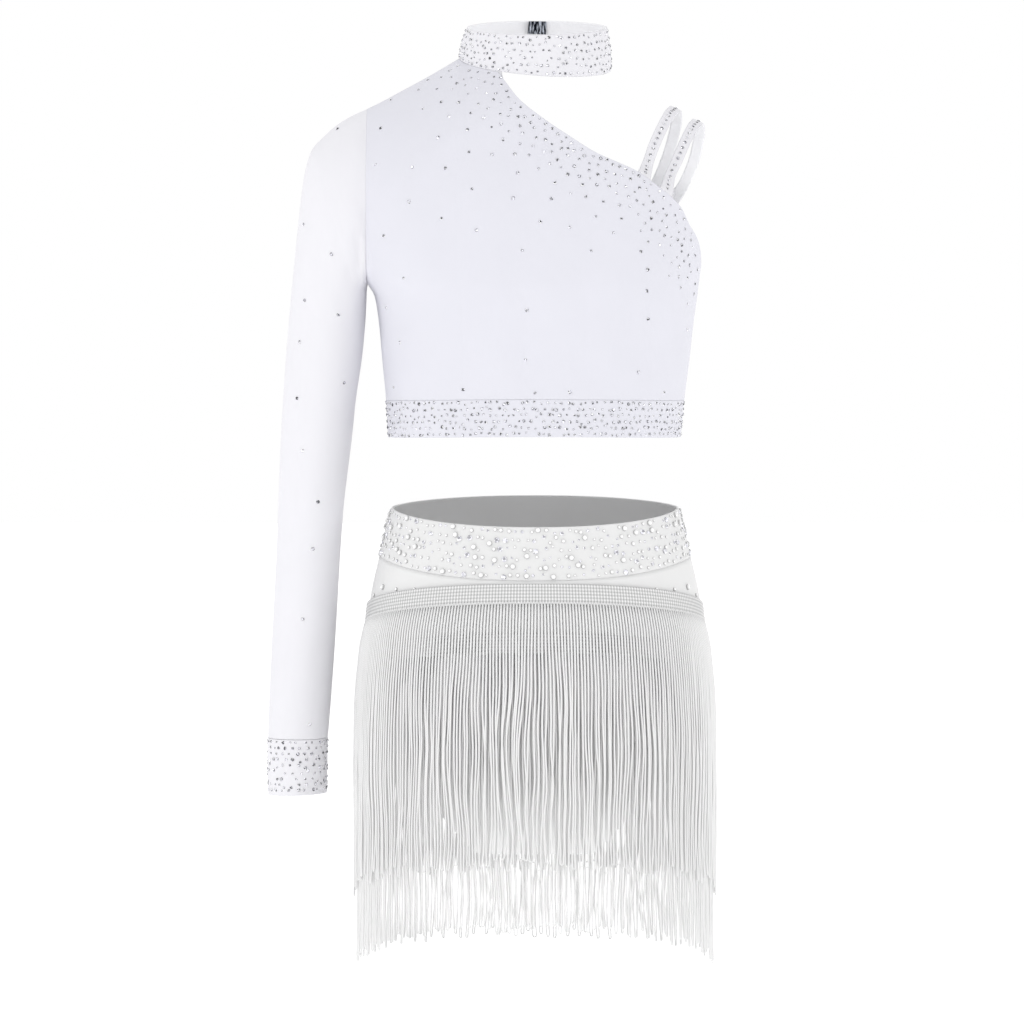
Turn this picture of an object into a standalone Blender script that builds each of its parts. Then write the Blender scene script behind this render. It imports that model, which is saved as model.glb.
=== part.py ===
"""Fringe dance costume: a one-sleeved crop top with a choker, and a skirt with two tiers of fringe.

The costume keeps its worn form with nobody in it. The front faces -Y, the wearer's left is +X and up is +Z.
The origin is at the centre of the waist, where the wearer holds the skirt up. Sizes in this file are in
millimetres, measured on the garment, and a mesh is scaled to metres where it is made.
"""

import math
from collections import namedtuple

import bmesh
import bpy
from mathutils import Vector

MM = 0.001  # metres in a millimetre

# Driving sizes
CLOTH = 1.4  # thickness of a cloth wall
BAND = 1.8  # thickness of a doubled band
SEAM = 0.3  # gap that stands for a seam
HALF_SEAM = SEAM / 2
ROUNDNESS = 2.25  # power of the body's sections: 2 is an ellipse, and more is squarer
ARMHOLE_X = -128.7  # plane of the sleeve's armhole
ARMHOLE_TOP = 306.6
ARMHOLE_LOW = 171.9
ARMPIT_X = 127.5  # half width under the bare arm
HEM_SEAM_Z = 83.4  # seam between the bodice and its hem band
HEM_Z = 55.0
HEM_LIFT = 2.0  # how much higher the hem is at the centre front
SHOULDER_ROUND = 70.0  # height over which the shoulder rounds over
NECK_BLEND = 60.0  # how far from the collar the bodice takes its own form again
PANEL_COLUMNS = 26
BODICE_ROWS = 10
RING_COLUMNS = 44
OVAL_STEPS = 1440

# Half width and half depth of the ovals along which columns are spaced
HEM_OVAL = (113, 81)
WAIST_OVAL = (114, 86)
HIP_OVAL = (134, 106)

# Half widths and half depths of the torso at each height
Torso = namedtuple("Torso", "height left right front back")
TORSO = [
    Torso(52, 112.9, 111.8, 81, 80),
    Torso(84, 114.6, 114.8, 82, 80),
    Torso(112, 117.2, 118.4, 84, 82),
    Torso(143, 120.0, 121.8, 88, 85),
    Torso(163, 123.2, 124.6, 91, 87),
    Torso(173, 128.9, 125.8, 92, 88),
    Torso(186, 134.0, 127.5, 92, 88),
    Torso(210, 140.5, 129.6, 91, 88),
    Torso(240, 146.0, 130.8, 88, 88),
    Torso(275, 149.0, 131.0, 80, 84),
    Torso(307, 150.0, 131.0, 71, 76),
    Torso(335, 150.0, 131.0, 57, 62),
    Torso(352, 150.0, 131.0, 52, 54),
]

# The shoulder line, from the centre of the neck outwards
Shoulder = namedtuple("Shoulder", "out height")
SHOULDER = [
    Shoulder(0, 368),
    Shoulder(28, 362),
    Shoulder(58.4, 345.1),
    Shoulder(79, 333),
    Shoulder(101, 321),
    Shoulder(129, 306.6),
    Shoulder(150, 299),
]

# The slanting neckline and the bare arm's edge, from the collar to the side seam
Neckline = namedtuple("Neckline", "across front back")
NECKLINE = [
    Neckline(-28.3, 333.2, 352.5),
    Neckline(-11.7, 311.3, 302.0),
    Neckline(8.7, 295.2, 287.0),
    Neckline(22.2, 286.1, 279.0),
    Neckline(46.4, 271.0, 265.0),
    Neckline(63.1, 263.7, 257.0),
    Neckline(76.1, 257.8, 251.0),
    Neckline(93.0, 246.0, 243.0),
    Neckline(110.2, 230.9, 231.5),
    Neckline(117.2, 217.3, 219.0),
    Neckline(122.9, 208.3, 209.0),
    Neckline(126.4, 197.7, 198.0),
    Neckline(127.5, 186.2, 186.2),
]

# The collar's upper and lower edges; tilt is how much higher the back is than the side
Ring = namedtuple("Ring", "centre half_width half_depth height tilt slant")
COLLAR_LOW = Ring(0.0, 58.4, 53.0, 341.0, 11.0, -4.5)
COLLAR_TOP = Ring(1.5, 53.7, 50.0, 368.9, 7.8, 0.0)
NECK_FRONT_X = -28.3  # where the collar leaves the bodice
COLLAR_COLUMNS = 40
COLLAR_BULGE = 1.2
OPENING_X = 2.0  # the collar's opening at the centre back
OPENING_GAP = 0.6

# Sleeve sections: a point on the outer and on the inner outline, and the half depth between front and back
Sleeve = namedtuple("Sleeve", "out_x out_z in_x in_z depth")
SLEEVE = [
    Sleeve(-141.0, 301.0, -129.4, 166.0, 47.0),
    Sleeve(-153.0, 293.5, -129.6, 160.0, 47.0),
    Sleeve(-163.0, 284.5, -129.9, 153.0, 46.0),
    Sleeve(-171.5, 275.0, -130.3, 145.0, 44.0),
    Sleeve(-176.5, 259.0, -131.0, 136.0, 42.0),
    Sleeve(-180.0, 236.0, -132.0, 125.0, 39.5),
    Sleeve(-183.0, 208.0, -133.5, 112.0, 37.5),
    Sleeve(-186.0, 178.0, -135.8, 97.0, 35.5),
    Sleeve(-189.0, 147.0, -138.2, 80.0, 33.5),
    Sleeve(-191.5, 116.0, -140.2, 60.0, 32.0),
    Sleeve(-193.8, 84.0, -143.0, 37.0, 31.0),
    Sleeve(-196.3, 38.0, -147.0, 4.0, 29.5),
    Sleeve(-199.2, -35.0, -150.3, -40.0, 27.5),
    Sleeve(-202.2, -92.0, -153.4, -93.0, 25.5),
    Sleeve(-204.8, -145.0, -157.0, -144.0, 23.5),
    Sleeve(-206.0, -176.8, -159.7, -176.8, 22.5),
]
CUFF = [
    Sleeve(-206.0, -177.1, -159.7, -177.1, 22.5),
    Sleeve(-206.3, -199.0, -160.1, -198.5, 22.5),
    Sleeve(-206.0, -220.9, -160.5, -219.3, 22.5),
]
SLEEVE_COLUMNS = 20

# Centre lines of the two shoulder straps, between their seats on the front and on the back
Strap = namedtuple("Strap", "name front_from front_to back_from back_to route")
Place = namedtuple("Place", "x y z")
STRAPS = [
    Strap("strap_inner", 77.7, 87.0, 88.5, 97.3, [
        Place(85.4, -55, 264), Place(90.0, -48, 277), Place(97.2, -35, 292.5), Place(103.8, -18, 303.7),
        Place(108.3, 0, 307.3), Place(109.6, 18, 299.5), Place(106.6, 34, 284), Place(100.8, 47, 265),
    ]),
    Strap("strap_outer", 94.6, 103.8, 101.8, 110.2, [
        Place(102.2, -46, 254), Place(107.6, -41, 266), Place(114.9, -30, 282), Place(121.5, -15, 293.8),
        Place(125.6, 0, 297.4), Place(127.2, 14, 289.5), Place(124.4, 28, 273), Place(116.2, 40, 251),
    ]),
]
STRAP_WIDE = Vector((0.9, 0.0, -0.43)) * 8.6
STRAP_THICK = 1.4
STRAP_GAP = 0.4  # between a strap's end and the bodice's edge

# Half widths and half depths of the hips at each height
Hips = namedtuple("Hips", "height side front back")
HIPS = [
    Hips(10, 107.5, 80, 79),
    Hips(0, 110.6, 82, 82),
    Hips(-12, 114.2, 84, 86),
    Hips(-36, 119.6, 89, 92),
    Hips(-51, 123.2, 92, 96),
    Hips(-66, 126.3, 95, 100),
    Hips(-84, 128.5, 98, 104),
    Hips(-112, 131.1, 101, 109),
    Hips(-139, 133.0, 103, 112),
    Hips(-175, 134.0, 103, 113),
    Hips(-209, 132.0, 97, 106),
    Hips(-240, 124.0, 74, 82),
    Hips(-262, 112.0, 38, 42),
]
HIP_HANG_Z = -175.0  # the fringe hangs straight down from here

# Heights of the skirt's lines at the side, the centre front and the centre back
Line = namedtuple("Line", "side front back power")
WAIST_TOP = Line(0.9, -10.7, 6.8, 1.7)
WAIST_SEAM = Line(-36.2, -51.0, -40.0, 1.9)
UPPER_TAPE = Line(-74.0, -53.0, -66.0, 1.0)
UPPER_ENDS = Line(-296.8, -264.5, -290.0, 1.0)
LOWER_TAPE = Line(-113.0, -90.0, -105.0, 1.0)
LOWER_ENDS = Line(-349.6, -313.0, -343.0, 1.3)
TAPE_HEIGHT = 15.0
TAPE_THICK = 1.8

# Half width of the brief at each height, with the leg openings below the hip
Brief = namedtuple("Brief", "height edge")
BRIEF = [
    Brief(-36, 130), Brief(-175, 134), Brief(-190, 117), Brief(-205, 97.5), Brief(-222, 78),
    Brief(-240, 64), Brief(-262, 46),
]
BRIEF_LEVELS = [-36, -62, -95, -130, -160, -178, -192, -207, -223, -241, -262]
SEAT_Z = -262.0
GUSSET_SAG = 5.0
GUSSET_WAIST = 9.0  # how much narrower the gusset is halfway
GUSSET_ROWS = 6
GUSSET_COLUMNS = 8

# The fringe: how far its outer face stands off the hips at each distance below its tape
STRANDS = 92  # in each tier
STRAND_THICK = 1.9
STRAND_WAVE = 0.7
STRAND_MEET = 1.1  # how far two neighbours lean together at their looped end
COLUMN_PITCH = 4.2  # between the fringe's columns, two to a strand
STRAND_END = 0.8  # a strand's end against its root
Lift = namedtuple("Lift", "below off")
UPPER_LIFT = [Lift(0, 2.3), Lift(18, 5.0), Lift(33, 5.4), Lift(60, 6.0), Lift(90, 6.3), Lift(240, 6.3)]
LOWER_LIFT = [Lift(0, 2.3), Lift(30, 3.2), Lift(60, 3.7), Lift(190, 3.8), Lift(240, 4.8)]
STRAND_LEVELS = [0.09, 0.22, 0.42, 1.0]

# The collar's steel hook and bar, as steps inwards from the collar's inner face
CLOSURE_TOP = 0.97  # share of the collar's height
CLOSURE_LOW = 0.58
PLATE = 0.8
BAR_RISE = 1.0
TONGUE = 1.0
CLEAR = 0.3
COLLAR_CLEAR = 0.65  # the collar's inner face is flat-sided, so this leaves about a seam's gap
HOOK_LEFT = -5.0
BAR_RIGHT = 9.4

WHITE_KNIT = (0.86, 0.86, 0.90)
STONED_KNIT = (0.74, 0.74, 0.78)
FRINGE_WHITE = (0.82, 0.82, 0.84)
BRIEF_WHITE = (0.70, 0.70, 0.72)
STEEL = (0.45, 0.45, 0.47)


def slopes(spots, values):
    """Slopes of a smooth curve through points, none of which it overshoots."""
    steps = [(b - a) / (q - p) for p, q, a, b in zip(spots, spots[1:], values, values[1:])]
    inner = [2 * a * b / (a + b) if a * b > 0 else 0.0 for a, b in zip(steps, steps[1:])]
    return [steps[0], *inner, steps[-1]]


def curve(table, name, at):
    """A named column of a table, read at any value of its first column as a smooth curve."""
    rows = sorted(table)
    spots = [row[0] for row in rows]
    values = [getattr(row, name) for row in rows]
    at = min(max(at, spots[0]), spots[-1])
    index = max(i for i, spot in enumerate(spots[:-1]) if spot <= at)
    lean = slopes(spots, values)
    width = spots[index + 1] - spots[index]
    t = (at - spots[index]) / width
    return (
        (1 + 2 * t) * (1 - t) ** 2 * values[index]
        + t * t * (3 - 2 * t) * values[index + 1]
        + width * t * (1 - t) * ((1 - t) * lean[index] - t * lean[index + 1])
    )


def ease(value):
    """A soft step from 0 to 1."""
    t = min(max(value, 0.0), 1.0)
    return t * t * (3 - 2 * t)


def bulge(share):
    """How deep a body section still is at this share of its half width."""
    return max(0.0, 1 - min(abs(share), 1.0) ** ROUNDNESS) ** (1 / ROUNDNESS)


def bent(value):
    """A cosine or sine, bent to the body's squarer sections."""
    return math.copysign(abs(value) ** (2 / ROUNDNESS), value)


def new_material(name, colour, roughness, metallic=0.0):
    """A plain surface of one colour."""
    material = bpy.data.materials.new(name)
    material.use_nodes = True
    shader = material.node_tree.nodes["Principled BSDF"]
    shader.inputs["Base Color"].default_value = (*colour, 1)
    shader.inputs["Roughness"].default_value = roughness
    shader.inputs["Metallic"].default_value = metallic
    material.diffuse_color = (*colour, 1)
    return material


def finish(name, bm, material):
    """Make the named object from its faces, with all faces pointing out and round stretches smooth."""
    bmesh.ops.recalc_face_normals(bm, faces=bm.faces)
    mesh = bpy.data.meshes.new(name)
    bm.to_mesh(mesh)
    bm.free()
    mesh.materials.append(material)
    mesh.shade_smooth()
    mesh.set_sharp_from_angle(angle=math.radians(40))
    piece = bpy.data.objects.new(name, mesh)
    bpy.context.collection.objects.link(piece)
    return piece


def face_lines(rows, around, heart):
    """The outward direction at each point of a face given as rows of points."""
    last_row, last = len(rows) - 1, len(rows[0]) - 1
    lines = []
    total = 0.0
    for r, row in enumerate(rows):
        middle = sum(row, Vector()) / len(row) if around else heart
        line = []
        for c, point in enumerate(row):
            left = row[c - 1] if around or c else row[0]
            right = row[(c + 1) % len(row)] if around or c < last else row[last]
            up = rows[min(r + 1, last_row)][c] - rows[max(r - 1, 0)][c]
            line.append((right - left).cross(up).normalized())
            total += line[-1].dot(point - middle)
        lines.append(line)
    return lines if total > 0 else [[-normal for normal in line] for line in lines]


def wall(name, rows, thickness, material, around=False, keep=None, heart=Vector(), lines=None):
    """A closed cloth wall whose outer face has these rows of points, with its inner face behind them."""
    lines = lines or face_lines(rows, around, heart)
    inner = [[p - n * thickness for p, n in zip(row, line)] for row, line in zip(rows, lines)]
    if keep:
        inner = [[keep(point) for point in row] for row in inner]
    bm = bmesh.new()
    outside = [[bm.verts.new(p * MM) for p in row] for row in rows]
    inside = [[bm.verts.new(p * MM) for p in row] for row in inner]
    count = len(rows[0])
    columns = range(count if around else count - 1)
    for r in range(len(rows) - 1):
        for c in columns:
            d = (c + 1) % count
            bm.faces.new((outside[r][c], outside[r][d], outside[r + 1][d], outside[r + 1][c]))
            bm.faces.new((inside[r][c], inside[r + 1][c], inside[r + 1][d], inside[r][d]))
        if not around:
            for c in (0, count - 1):
                bm.faces.new((outside[r][c], outside[r + 1][c], inside[r + 1][c], inside[r][c]))
    for r in (0, len(rows) - 1):
        for c in columns:
            d = (c + 1) % count
            bm.faces.new((outside[r][c], inside[r][c], inside[r][d], outside[r][d]))
    return finish(name, bm, material)


def loft(name, sections, material):
    """A closed solid through sections with equal numbers of corners."""
    bm = bmesh.new()
    loops = [[bm.verts.new(p * MM) for p in section] for section in sections]
    for low, high in zip(loops, loops[1:]):
        for c in range(len(low)):
            d = (c + 1) % len(low)
            bm.faces.new((low[c], low[d], high[d], high[c]))
    bm.faces.new(loops[0])
    bm.faces.new(loops[-1])
    return finish(name, bm, material)


def even_angles(count, oval):
    """Angles whose points lie evenly along a rounded section of this half width and half depth."""
    half_width, half_depth = oval
    spots = [2 * math.pi * i / OVAL_STEPS for i in range(OVAL_STEPS + 1)]
    points = [Vector((half_width * bent(math.cos(a)), half_depth * bent(math.sin(a)))) for a in spots]
    travel = [0.0]
    for before, after in zip(points, points[1:]):
        travel.append(travel[-1] + (after - before).length)
    angles = []
    index = 0
    for i in range(count):
        goal = travel[-1] * i / count
        while travel[index + 1] < goal:
            index += 1
        share = (goal - travel[index]) / (travel[index + 1] - travel[index])
        angles.append(spots[index] + share * (spots[1] - spots[0]))
    return angles


# The top's form

def torso_depth(across, height, back):
    """How far the torso's face stands from its middle plane."""
    half_width = curve(TORSO, "right" if across > 0 else "left", height)
    half_depth = curve(TORSO, "back" if back else "front", height)
    under_shoulder = (curve(SHOULDER, "height", abs(across)) - height) / SHOULDER_ROUND
    rounding = math.sqrt(max(0.0, 1 - (1 - min(max(under_shoulder, 0.0), 1.0)) ** 2))
    return half_depth * bulge(across / half_width) * rounding


def collar_edge(ring, angle):
    """A point on one edge of the collar."""
    across = ring.half_width * math.cos(angle)
    deep = ring.half_depth * math.sin(angle)
    height = ring.height + ring.tilt * math.sin(angle) + ring.slant * math.cos(angle)
    return Vector((ring.centre + across, deep, height))


def collar_seat(across, back):
    """The point of the collar's lower edge that lies this far across."""
    ring = COLLAR_LOW
    share = min(max((across - ring.centre) / ring.half_width, -1.0), 1.0)
    angle = math.acos(share) if back else -math.acos(share)
    return collar_edge(ring, angle)


def bodice_top(across, back):
    """Height of a bodice panel's upper edge: shoulder, collar seam, neckline, then the bare arm's edge."""
    if across <= -COLLAR_LOW.half_width:
        return curve(SHOULDER, "height", -across)
    if across <= NECK_FRONT_X:
        return collar_seat(across, back).z - SEAM
    return curve(NECKLINE, "back" if back else "front", across)


def hem_seam(share, back):
    """Height of the seam above the hem band, a little higher at the centre front."""
    return HEM_SEAM_Z + (0 if back else HEM_LIFT * (1 - share * share))


def bodice_point(share, rise, back):
    """A point of a bodice panel: share runs from side to side, and rise from the hem to the upper edge."""
    limit = -ARMHOLE_X if share < 0 else ARMPIT_X
    top = bodice_top(share * limit, back)
    hem = hem_seam(share, back)
    height = hem + rise * (top - hem)
    across = share * min(curve(TORSO, "right" if share > 0 else "left", height), limit)
    deep = torso_depth(across, height, back)
    if -COLLAR_LOW.half_width < across:
        seat = collar_seat(min(across, NECK_FRONT_X), back)
        near = 1 - ease((across - NECK_FRONT_X) / NECK_BLEND)
        free = torso_depth(seat.x, seat.z, back)
        deep += rise ** 3 * near * (abs(seat.y) - free)
    deep += HALF_SEAM
    return Vector((across, deep if back else -deep, height))


def bodice_shares():
    """Columns across a bodice panel, closer at the sides, with one at each corner of the collar seam."""
    shares = [math.sin(math.pi / 2 * (2 * i / PANEL_COLUMNS - 1)) for i in range(PANEL_COLUMNS + 1)]
    for corner in (COLLAR_LOW.half_width / ARMHOLE_X, NECK_FRONT_X / -ARMHOLE_X):
        nearest = min(range(len(shares)), key=lambda i: abs(shares[i] - corner))
        shares[nearest] = corner
    return shares


def side_keeper(back):
    """Keeps a panel's inner face on its own side of the seams."""
    def keep(point):
        deep = max(point.y, HALF_SEAM) if back else min(point.y, -HALF_SEAM)
        return Vector((max(point.x, ARMHOLE_X), deep, point.z))
    return keep


def build_bodice(name, back, material):
    """One bodice panel, from its hem seam up to the shoulder, collar and neckline."""
    shares = bodice_shares()
    rows = [
        [bodice_point(share, r / BODICE_ROWS, back) for share in shares]
        for r in range(BODICE_ROWS + 1)
    ]
    heart = Vector((0, 0, HEM_SEAM_Z))
    return wall(name, rows, CLOTH, material, keep=side_keeper(back), heart=heart)


def build_hem_band(material):
    """The stoned band that goes round under the bodice."""
    rows = []
    for share in (0.0, 0.5, 1.0):
        row = []
        for angle in even_angles(RING_COLUMNS, HEM_OVAL):
            high = hem_seam(bent(math.cos(angle)), math.sin(angle) > 0) - SEAM
            height = high + (1 - share) * (HEM_Z - HEM_SEAM_Z)
            half_width = curve(TORSO, "right" if math.cos(angle) > 0 else "left", height)
            half_depth = curve(TORSO, "back" if math.sin(angle) > 0 else "front", height)
            across, deep = half_width * bent(math.cos(angle)), half_depth * bent(math.sin(angle))
            row.append(Vector((across, deep, height)))
        rows.append(row)
    return wall("hem_band", rows, BAND, material, around=True)


def collar_point(angle, share, inward=0.0):
    """A point of the collar between its lower and upper edge, moved inwards."""
    low, top = collar_edge(COLLAR_LOW, angle), collar_edge(COLLAR_TOP, angle)
    out = Vector((math.cos(angle), math.sin(angle), 0))
    puff = COLLAR_BULGE * 4 * share * (1 - share)
    return low.lerp(top, share) + out * (puff - inward)


def back_angle(across):
    """The angle round the collar of a place at its back."""
    return math.acos((across - COLLAR_TOP.centre) / COLLAR_TOP.half_width)


def build_collar(material):
    """The choker: a band with its two ends meeting at the centre back."""
    start = back_angle(OPENING_X - OPENING_GAP / 2)
    turn = 2 * math.pi - (start - back_angle(OPENING_X + OPENING_GAP / 2))
    angles = [start + turn * i / COLLAR_COLUMNS for i in range(COLLAR_COLUMNS + 1)]
    rows = [[collar_point(angle, share) for angle in angles] for share in (0.0, 0.5, 1.0)]
    heart = Vector((0, 0, COLLAR_LOW.height))
    return wall("collar", rows, BAND, material, heart=heart)


def closure_piece(name, outline, material):
    """A small steel piece on the collar's inner face, bent from one outline of places across and inwards."""
    sections = []
    for share in (CLOSURE_LOW, CLOSURE_TOP):
        face = BAND + COLLAR_CLEAR
        sections.append([collar_point(back_angle(x), share, face + inward) for x, inward in outline])
    return loft(name, sections, material)


def build_closure(material):
    """The hook, whose tongue reaches over the bar and turns down behind it."""
    hook_end, bar_start = OPENING_X - 0.4, OPENING_X + 0.4
    over = PLATE + BAR_RISE + CLEAR
    lip = bar_start + 2.4
    closure_piece("closure_hook", [
        (HOOK_LEFT, 0), (hook_end, 0), (hook_end, over), (lip, over), (lip, PLATE + CLEAR),
        (lip + 1.2, PLATE + CLEAR), (lip + 1.2, over + TONGUE), (HOOK_LEFT, over + TONGUE),
    ], material)
    closure_piece("closure_bar", [
        (bar_start, 0), (BAR_RIGHT, 0), (BAR_RIGHT, PLATE), (bar_start + 1.8, PLATE),
        (bar_start + 1.8, PLATE + BAR_RISE), (bar_start, PLATE + BAR_RISE),
    ], material)


def sleeve_section(row):
    """An oval through the outer and inner outline."""
    outer, inner = Vector((row.out_x, 0, row.out_z)), Vector((row.in_x, 0, row.in_z))
    middle, half = (outer + inner) / 2, (outer - inner) / 2
    turns = [2 * math.pi * i / SLEEVE_COLUMNS for i in range(SLEEVE_COLUMNS)]
    return [middle + half * math.cos(a) + Vector((0, row.depth * math.sin(a), 0)) for a in turns]


def armhole_section():
    """The sleeve's first section, which meets the bodice's armhole."""
    middle, half = (ARMHOLE_TOP + ARMHOLE_LOW) / 2, (ARMHOLE_TOP - ARMHOLE_LOW) / 2
    points = []
    for i in range(SLEEVE_COLUMNS):
        angle = 2 * math.pi * i / SLEEVE_COLUMNS
        height = middle + half * math.cos(angle)
        deep = torso_depth(ARMHOLE_X, height, math.sin(angle) > 0)
        points.append(Vector((ARMHOLE_X - SEAM, math.copysign(deep, math.sin(angle)), height)))
    return points


def build_sleeve(material):
    """The long sleeve, from its armhole to the cuff seam."""
    rows = [armhole_section()] + [sleeve_section(row) for row in SLEEVE]
    plane = ARMHOLE_X - SEAM
    wall("sleeve", rows, CLOTH, material, around=True, keep=lambda p: Vector((min(p.x, plane), p.y, p.z)))


def build_cuff(material):
    """The stoned band at the wrist."""
    wall("cuff_band", [sleeve_section(row) for row in CUFF], BAND, material, around=True)


def strap_seat(across_from, across_to, back):
    """The four corners of a strap's end, just above the bodice's edge."""
    corners = []
    for across in (across_from, across_to):
        point = bodice_point(across / ARMPIT_X, 1.0, back)
        point.z += STRAP_GAP
        corners.append(point)
    inward = Vector((0, -STRAP_THICK if back else STRAP_THICK, 0))
    first, second = corners
    return [first, second, second + inward, first + inward]


def build_strap(strap, material):
    """A strap that stands as a loop over the bare shoulder."""
    seats = (
        strap_seat(strap.front_from, strap.front_to, False),
        strap_seat(strap.back_from, strap.back_to, True),
    )
    route = [Vector(place) for place in strap.route]
    sections = [seats[0]]
    for i, place in enumerate(route):
        before = route[i - 1] if i else sum(seats[0], Vector()) / 4
        after = route[i + 1] if i + 1 < len(route) else sum(seats[1], Vector()) / 4
        inward = STRAP_WIDE.cross(after - before).normalized() * -STRAP_THICK
        near, far = place - STRAP_WIDE / 2, place + STRAP_WIDE / 2
        sections.append([near, far, far + inward, near + inward])
    sections.append(seats[1])
    return loft(strap.name, sections, material)


# The skirt's form

def line_height(line, angle):
    """Height of one of the skirt's lines at an angle round the body."""
    share = abs(bent(math.sin(angle))) ** line.power
    end = line.back if math.sin(angle) > 0 else line.front
    return line.side + (end - line.side) * share


def hip_point(angle, height, off=0.0):
    """A point on the hips at an angle and a height, moved off the body."""
    level = max(height, HIP_HANG_Z)
    half_width = curve(HIPS, "side", level) + off
    half_depth = curve(HIPS, "back" if math.sin(angle) > 0 else "front", level) + off
    return Vector((half_width * bent(math.cos(angle)), half_depth * bent(math.sin(angle)), height))


def build_waistband(material):
    """The stoned band at the waist, cut lower at the front."""
    rows = []
    for share in (0.0, 0.5, 1.0):
        row = []
        for angle in even_angles(RING_COLUMNS, WAIST_OVAL):
            low, high = line_height(WAIST_SEAM, angle), line_height(WAIST_TOP, angle)
            row.append(hip_point(angle, low + share * (high - low)))
        rows.append(row)
    return wall("waistband", rows, BAND, material, around=True)


def brief_point(share, level, back):
    """A point of the skirt's base, on one of its levels between the waist seam and the gusset seam."""
    angle = math.asin(max(-1.0, min(1.0, bulge(share) ** (ROUNDNESS / 2))))
    seam = line_height(WAIST_SEAM, angle if back else -angle) - SEAM
    fade = (level - SEAT_Z) / (BRIEF_LEVELS[0] - SEAT_Z)
    height = level + (seam - BRIEF_LEVELS[0]) * fade ** 3
    half_width = curve(HIPS, "side", height)
    across = share * min(half_width, curve(BRIEF, "edge", height))
    deep = curve(HIPS, "back" if back else "front", height) * bulge(across / half_width) + HALF_SEAM
    return Vector((across, deep if back else -deep, height))


def brief_shares(count):
    """Columns across a panel, closer together at the sides."""
    return [math.sin(math.pi / 2 * (2 * i / count - 1)) for i in range(count + 1)]


def build_brief(name, back, material):
    """One panel of the skirt's base, with its share of the two leg openings."""
    rows = [
        [brief_point(share, level, back) for share in brief_shares(PANEL_COLUMNS - 4)]
        for level in BRIEF_LEVELS
    ]

    def keep(point):
        deep = max(point.y, HALF_SEAM) if back else min(point.y, -HALF_SEAM)
        return Vector((point.x, deep, point.z))

    wall(name, rows, CLOTH, material, keep=keep, heart=Vector((0, 0, HIP_HANG_Z)))


def seat_direction(back):
    """The way in which the base runs into the gusset seam, and the outward direction there."""
    above, low = (brief_point(0, level, back) for level in (SEAT_Z + 4, SEAT_Z))
    run = (low - above).normalized()
    out = run.cross(Vector((1, 0, 0)))
    return run, out if out.z < 0 else -out


def build_gusset(material):
    """The strip between the legs, from the front seam to the back seam."""
    (front_run, front_out), (back_run, back_out) = seat_direction(False), seat_direction(True)
    rows, lines = [], []
    for r in range(GUSSET_ROWS + 1):
        t = r / GUSSET_ROWS
        dip = math.sin(math.pi * t)
        row = []
        for share in brief_shares(GUSSET_COLUMNS):
            front = brief_point(share, SEAT_Z, False) + front_run * SEAM
            rear = brief_point(share, SEAT_Z, True) + back_run * SEAM
            point = front.lerp(rear, t)
            point.x *= 1 - dip * GUSSET_WAIST / curve(BRIEF, "edge", SEAT_Z)
            point.z -= dip * GUSSET_SAG
            row.append(point)
        rows.append(row)
        lines.append([front_out.lerp(back_out, t).normalized()] * len(row))
    wall("gusset", rows, CLOTH, material, lines=lines)


def strand_section(near, far, height, off, width):
    """The four corners of a strand at one height, outer face first."""
    middle, half = (near + far) / 2, (far - near) / 2 * width
    ring = [(middle - half, off), (middle + half, off), (middle + half, off - STRAND_THICK)]
    ring.append((middle - half, off - STRAND_THICK))
    return [hip_point(angle, height, distance) for angle, distance in ring]


def build_fringe(name, tape, ends, lifts, material):
    """A braided tape round the hips with strands hanging from its lower edge, made as one piece."""
    angles = even_angles(2 * STRANDS, HIP_OVAL)
    turn = 2 * math.pi / len(angles)
    bm = bmesh.new()
    tape_off = curve(lifts, "off", 0)
    top_out, top_in, low_out, low_in = [], [], [], []
    for angle in angles:
        top = line_height(tape, angle)
        low = top - TAPE_HEIGHT
        top_out.append(bm.verts.new(hip_point(angle, top, tape_off) * MM))
        top_in.append(bm.verts.new(hip_point(angle, top, tape_off - TAPE_THICK) * MM))
        low_out.append(bm.verts.new(hip_point(angle, low, tape_off) * MM))
        low_in.append(bm.verts.new(hip_point(angle, low, tape_off - TAPE_THICK) * MM))
    for c in range(len(angles)):
        d = (c + 1) % len(angles)
        bm.faces.new((top_out[c], top_out[d], low_out[d], low_out[c]))
        bm.faces.new((top_in[c], low_in[c], low_in[d], top_in[d]))
        bm.faces.new((top_out[c], top_in[c], top_in[d], top_out[d]))
        root = (low_out[c], low_out[d], low_in[d], low_in[c])
        if c % 2:
            bm.faces.new(root)
            continue
        near, far = angles[c], angles[c] + (angles[d] - angles[c]) % (2 * math.pi)
        start = line_height(tape, (near + far) / 2) - TAPE_HEIGHT
        end = line_height(ends, (near + far) / 2)
        side = 1 if (c // 2) % 2 == 0 else -1
        phase = 1.7 * c
        for share in STRAND_LEVELS:
            height = start + (end - start) * share
            off = curve(lifts, "off", start - height)
            wave = STRAND_WAVE * math.sin(phase + 5 * share) * share
            shift = (wave + side * STRAND_MEET * share ** 4) * turn / COLUMN_PITCH
            width = 1 - (1 - STRAND_END) * share
            corners = strand_section(near + shift, far + shift, height, off, width)
            level = [bm.verts.new(p * MM) for p in corners]
            for k in range(4):
                j = (k + 1) % 4
                bm.faces.new((root[k], root[j], level[j], level[k]))
            root = level
        bm.faces.new(root)
    return finish(name, bm, material)


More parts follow.
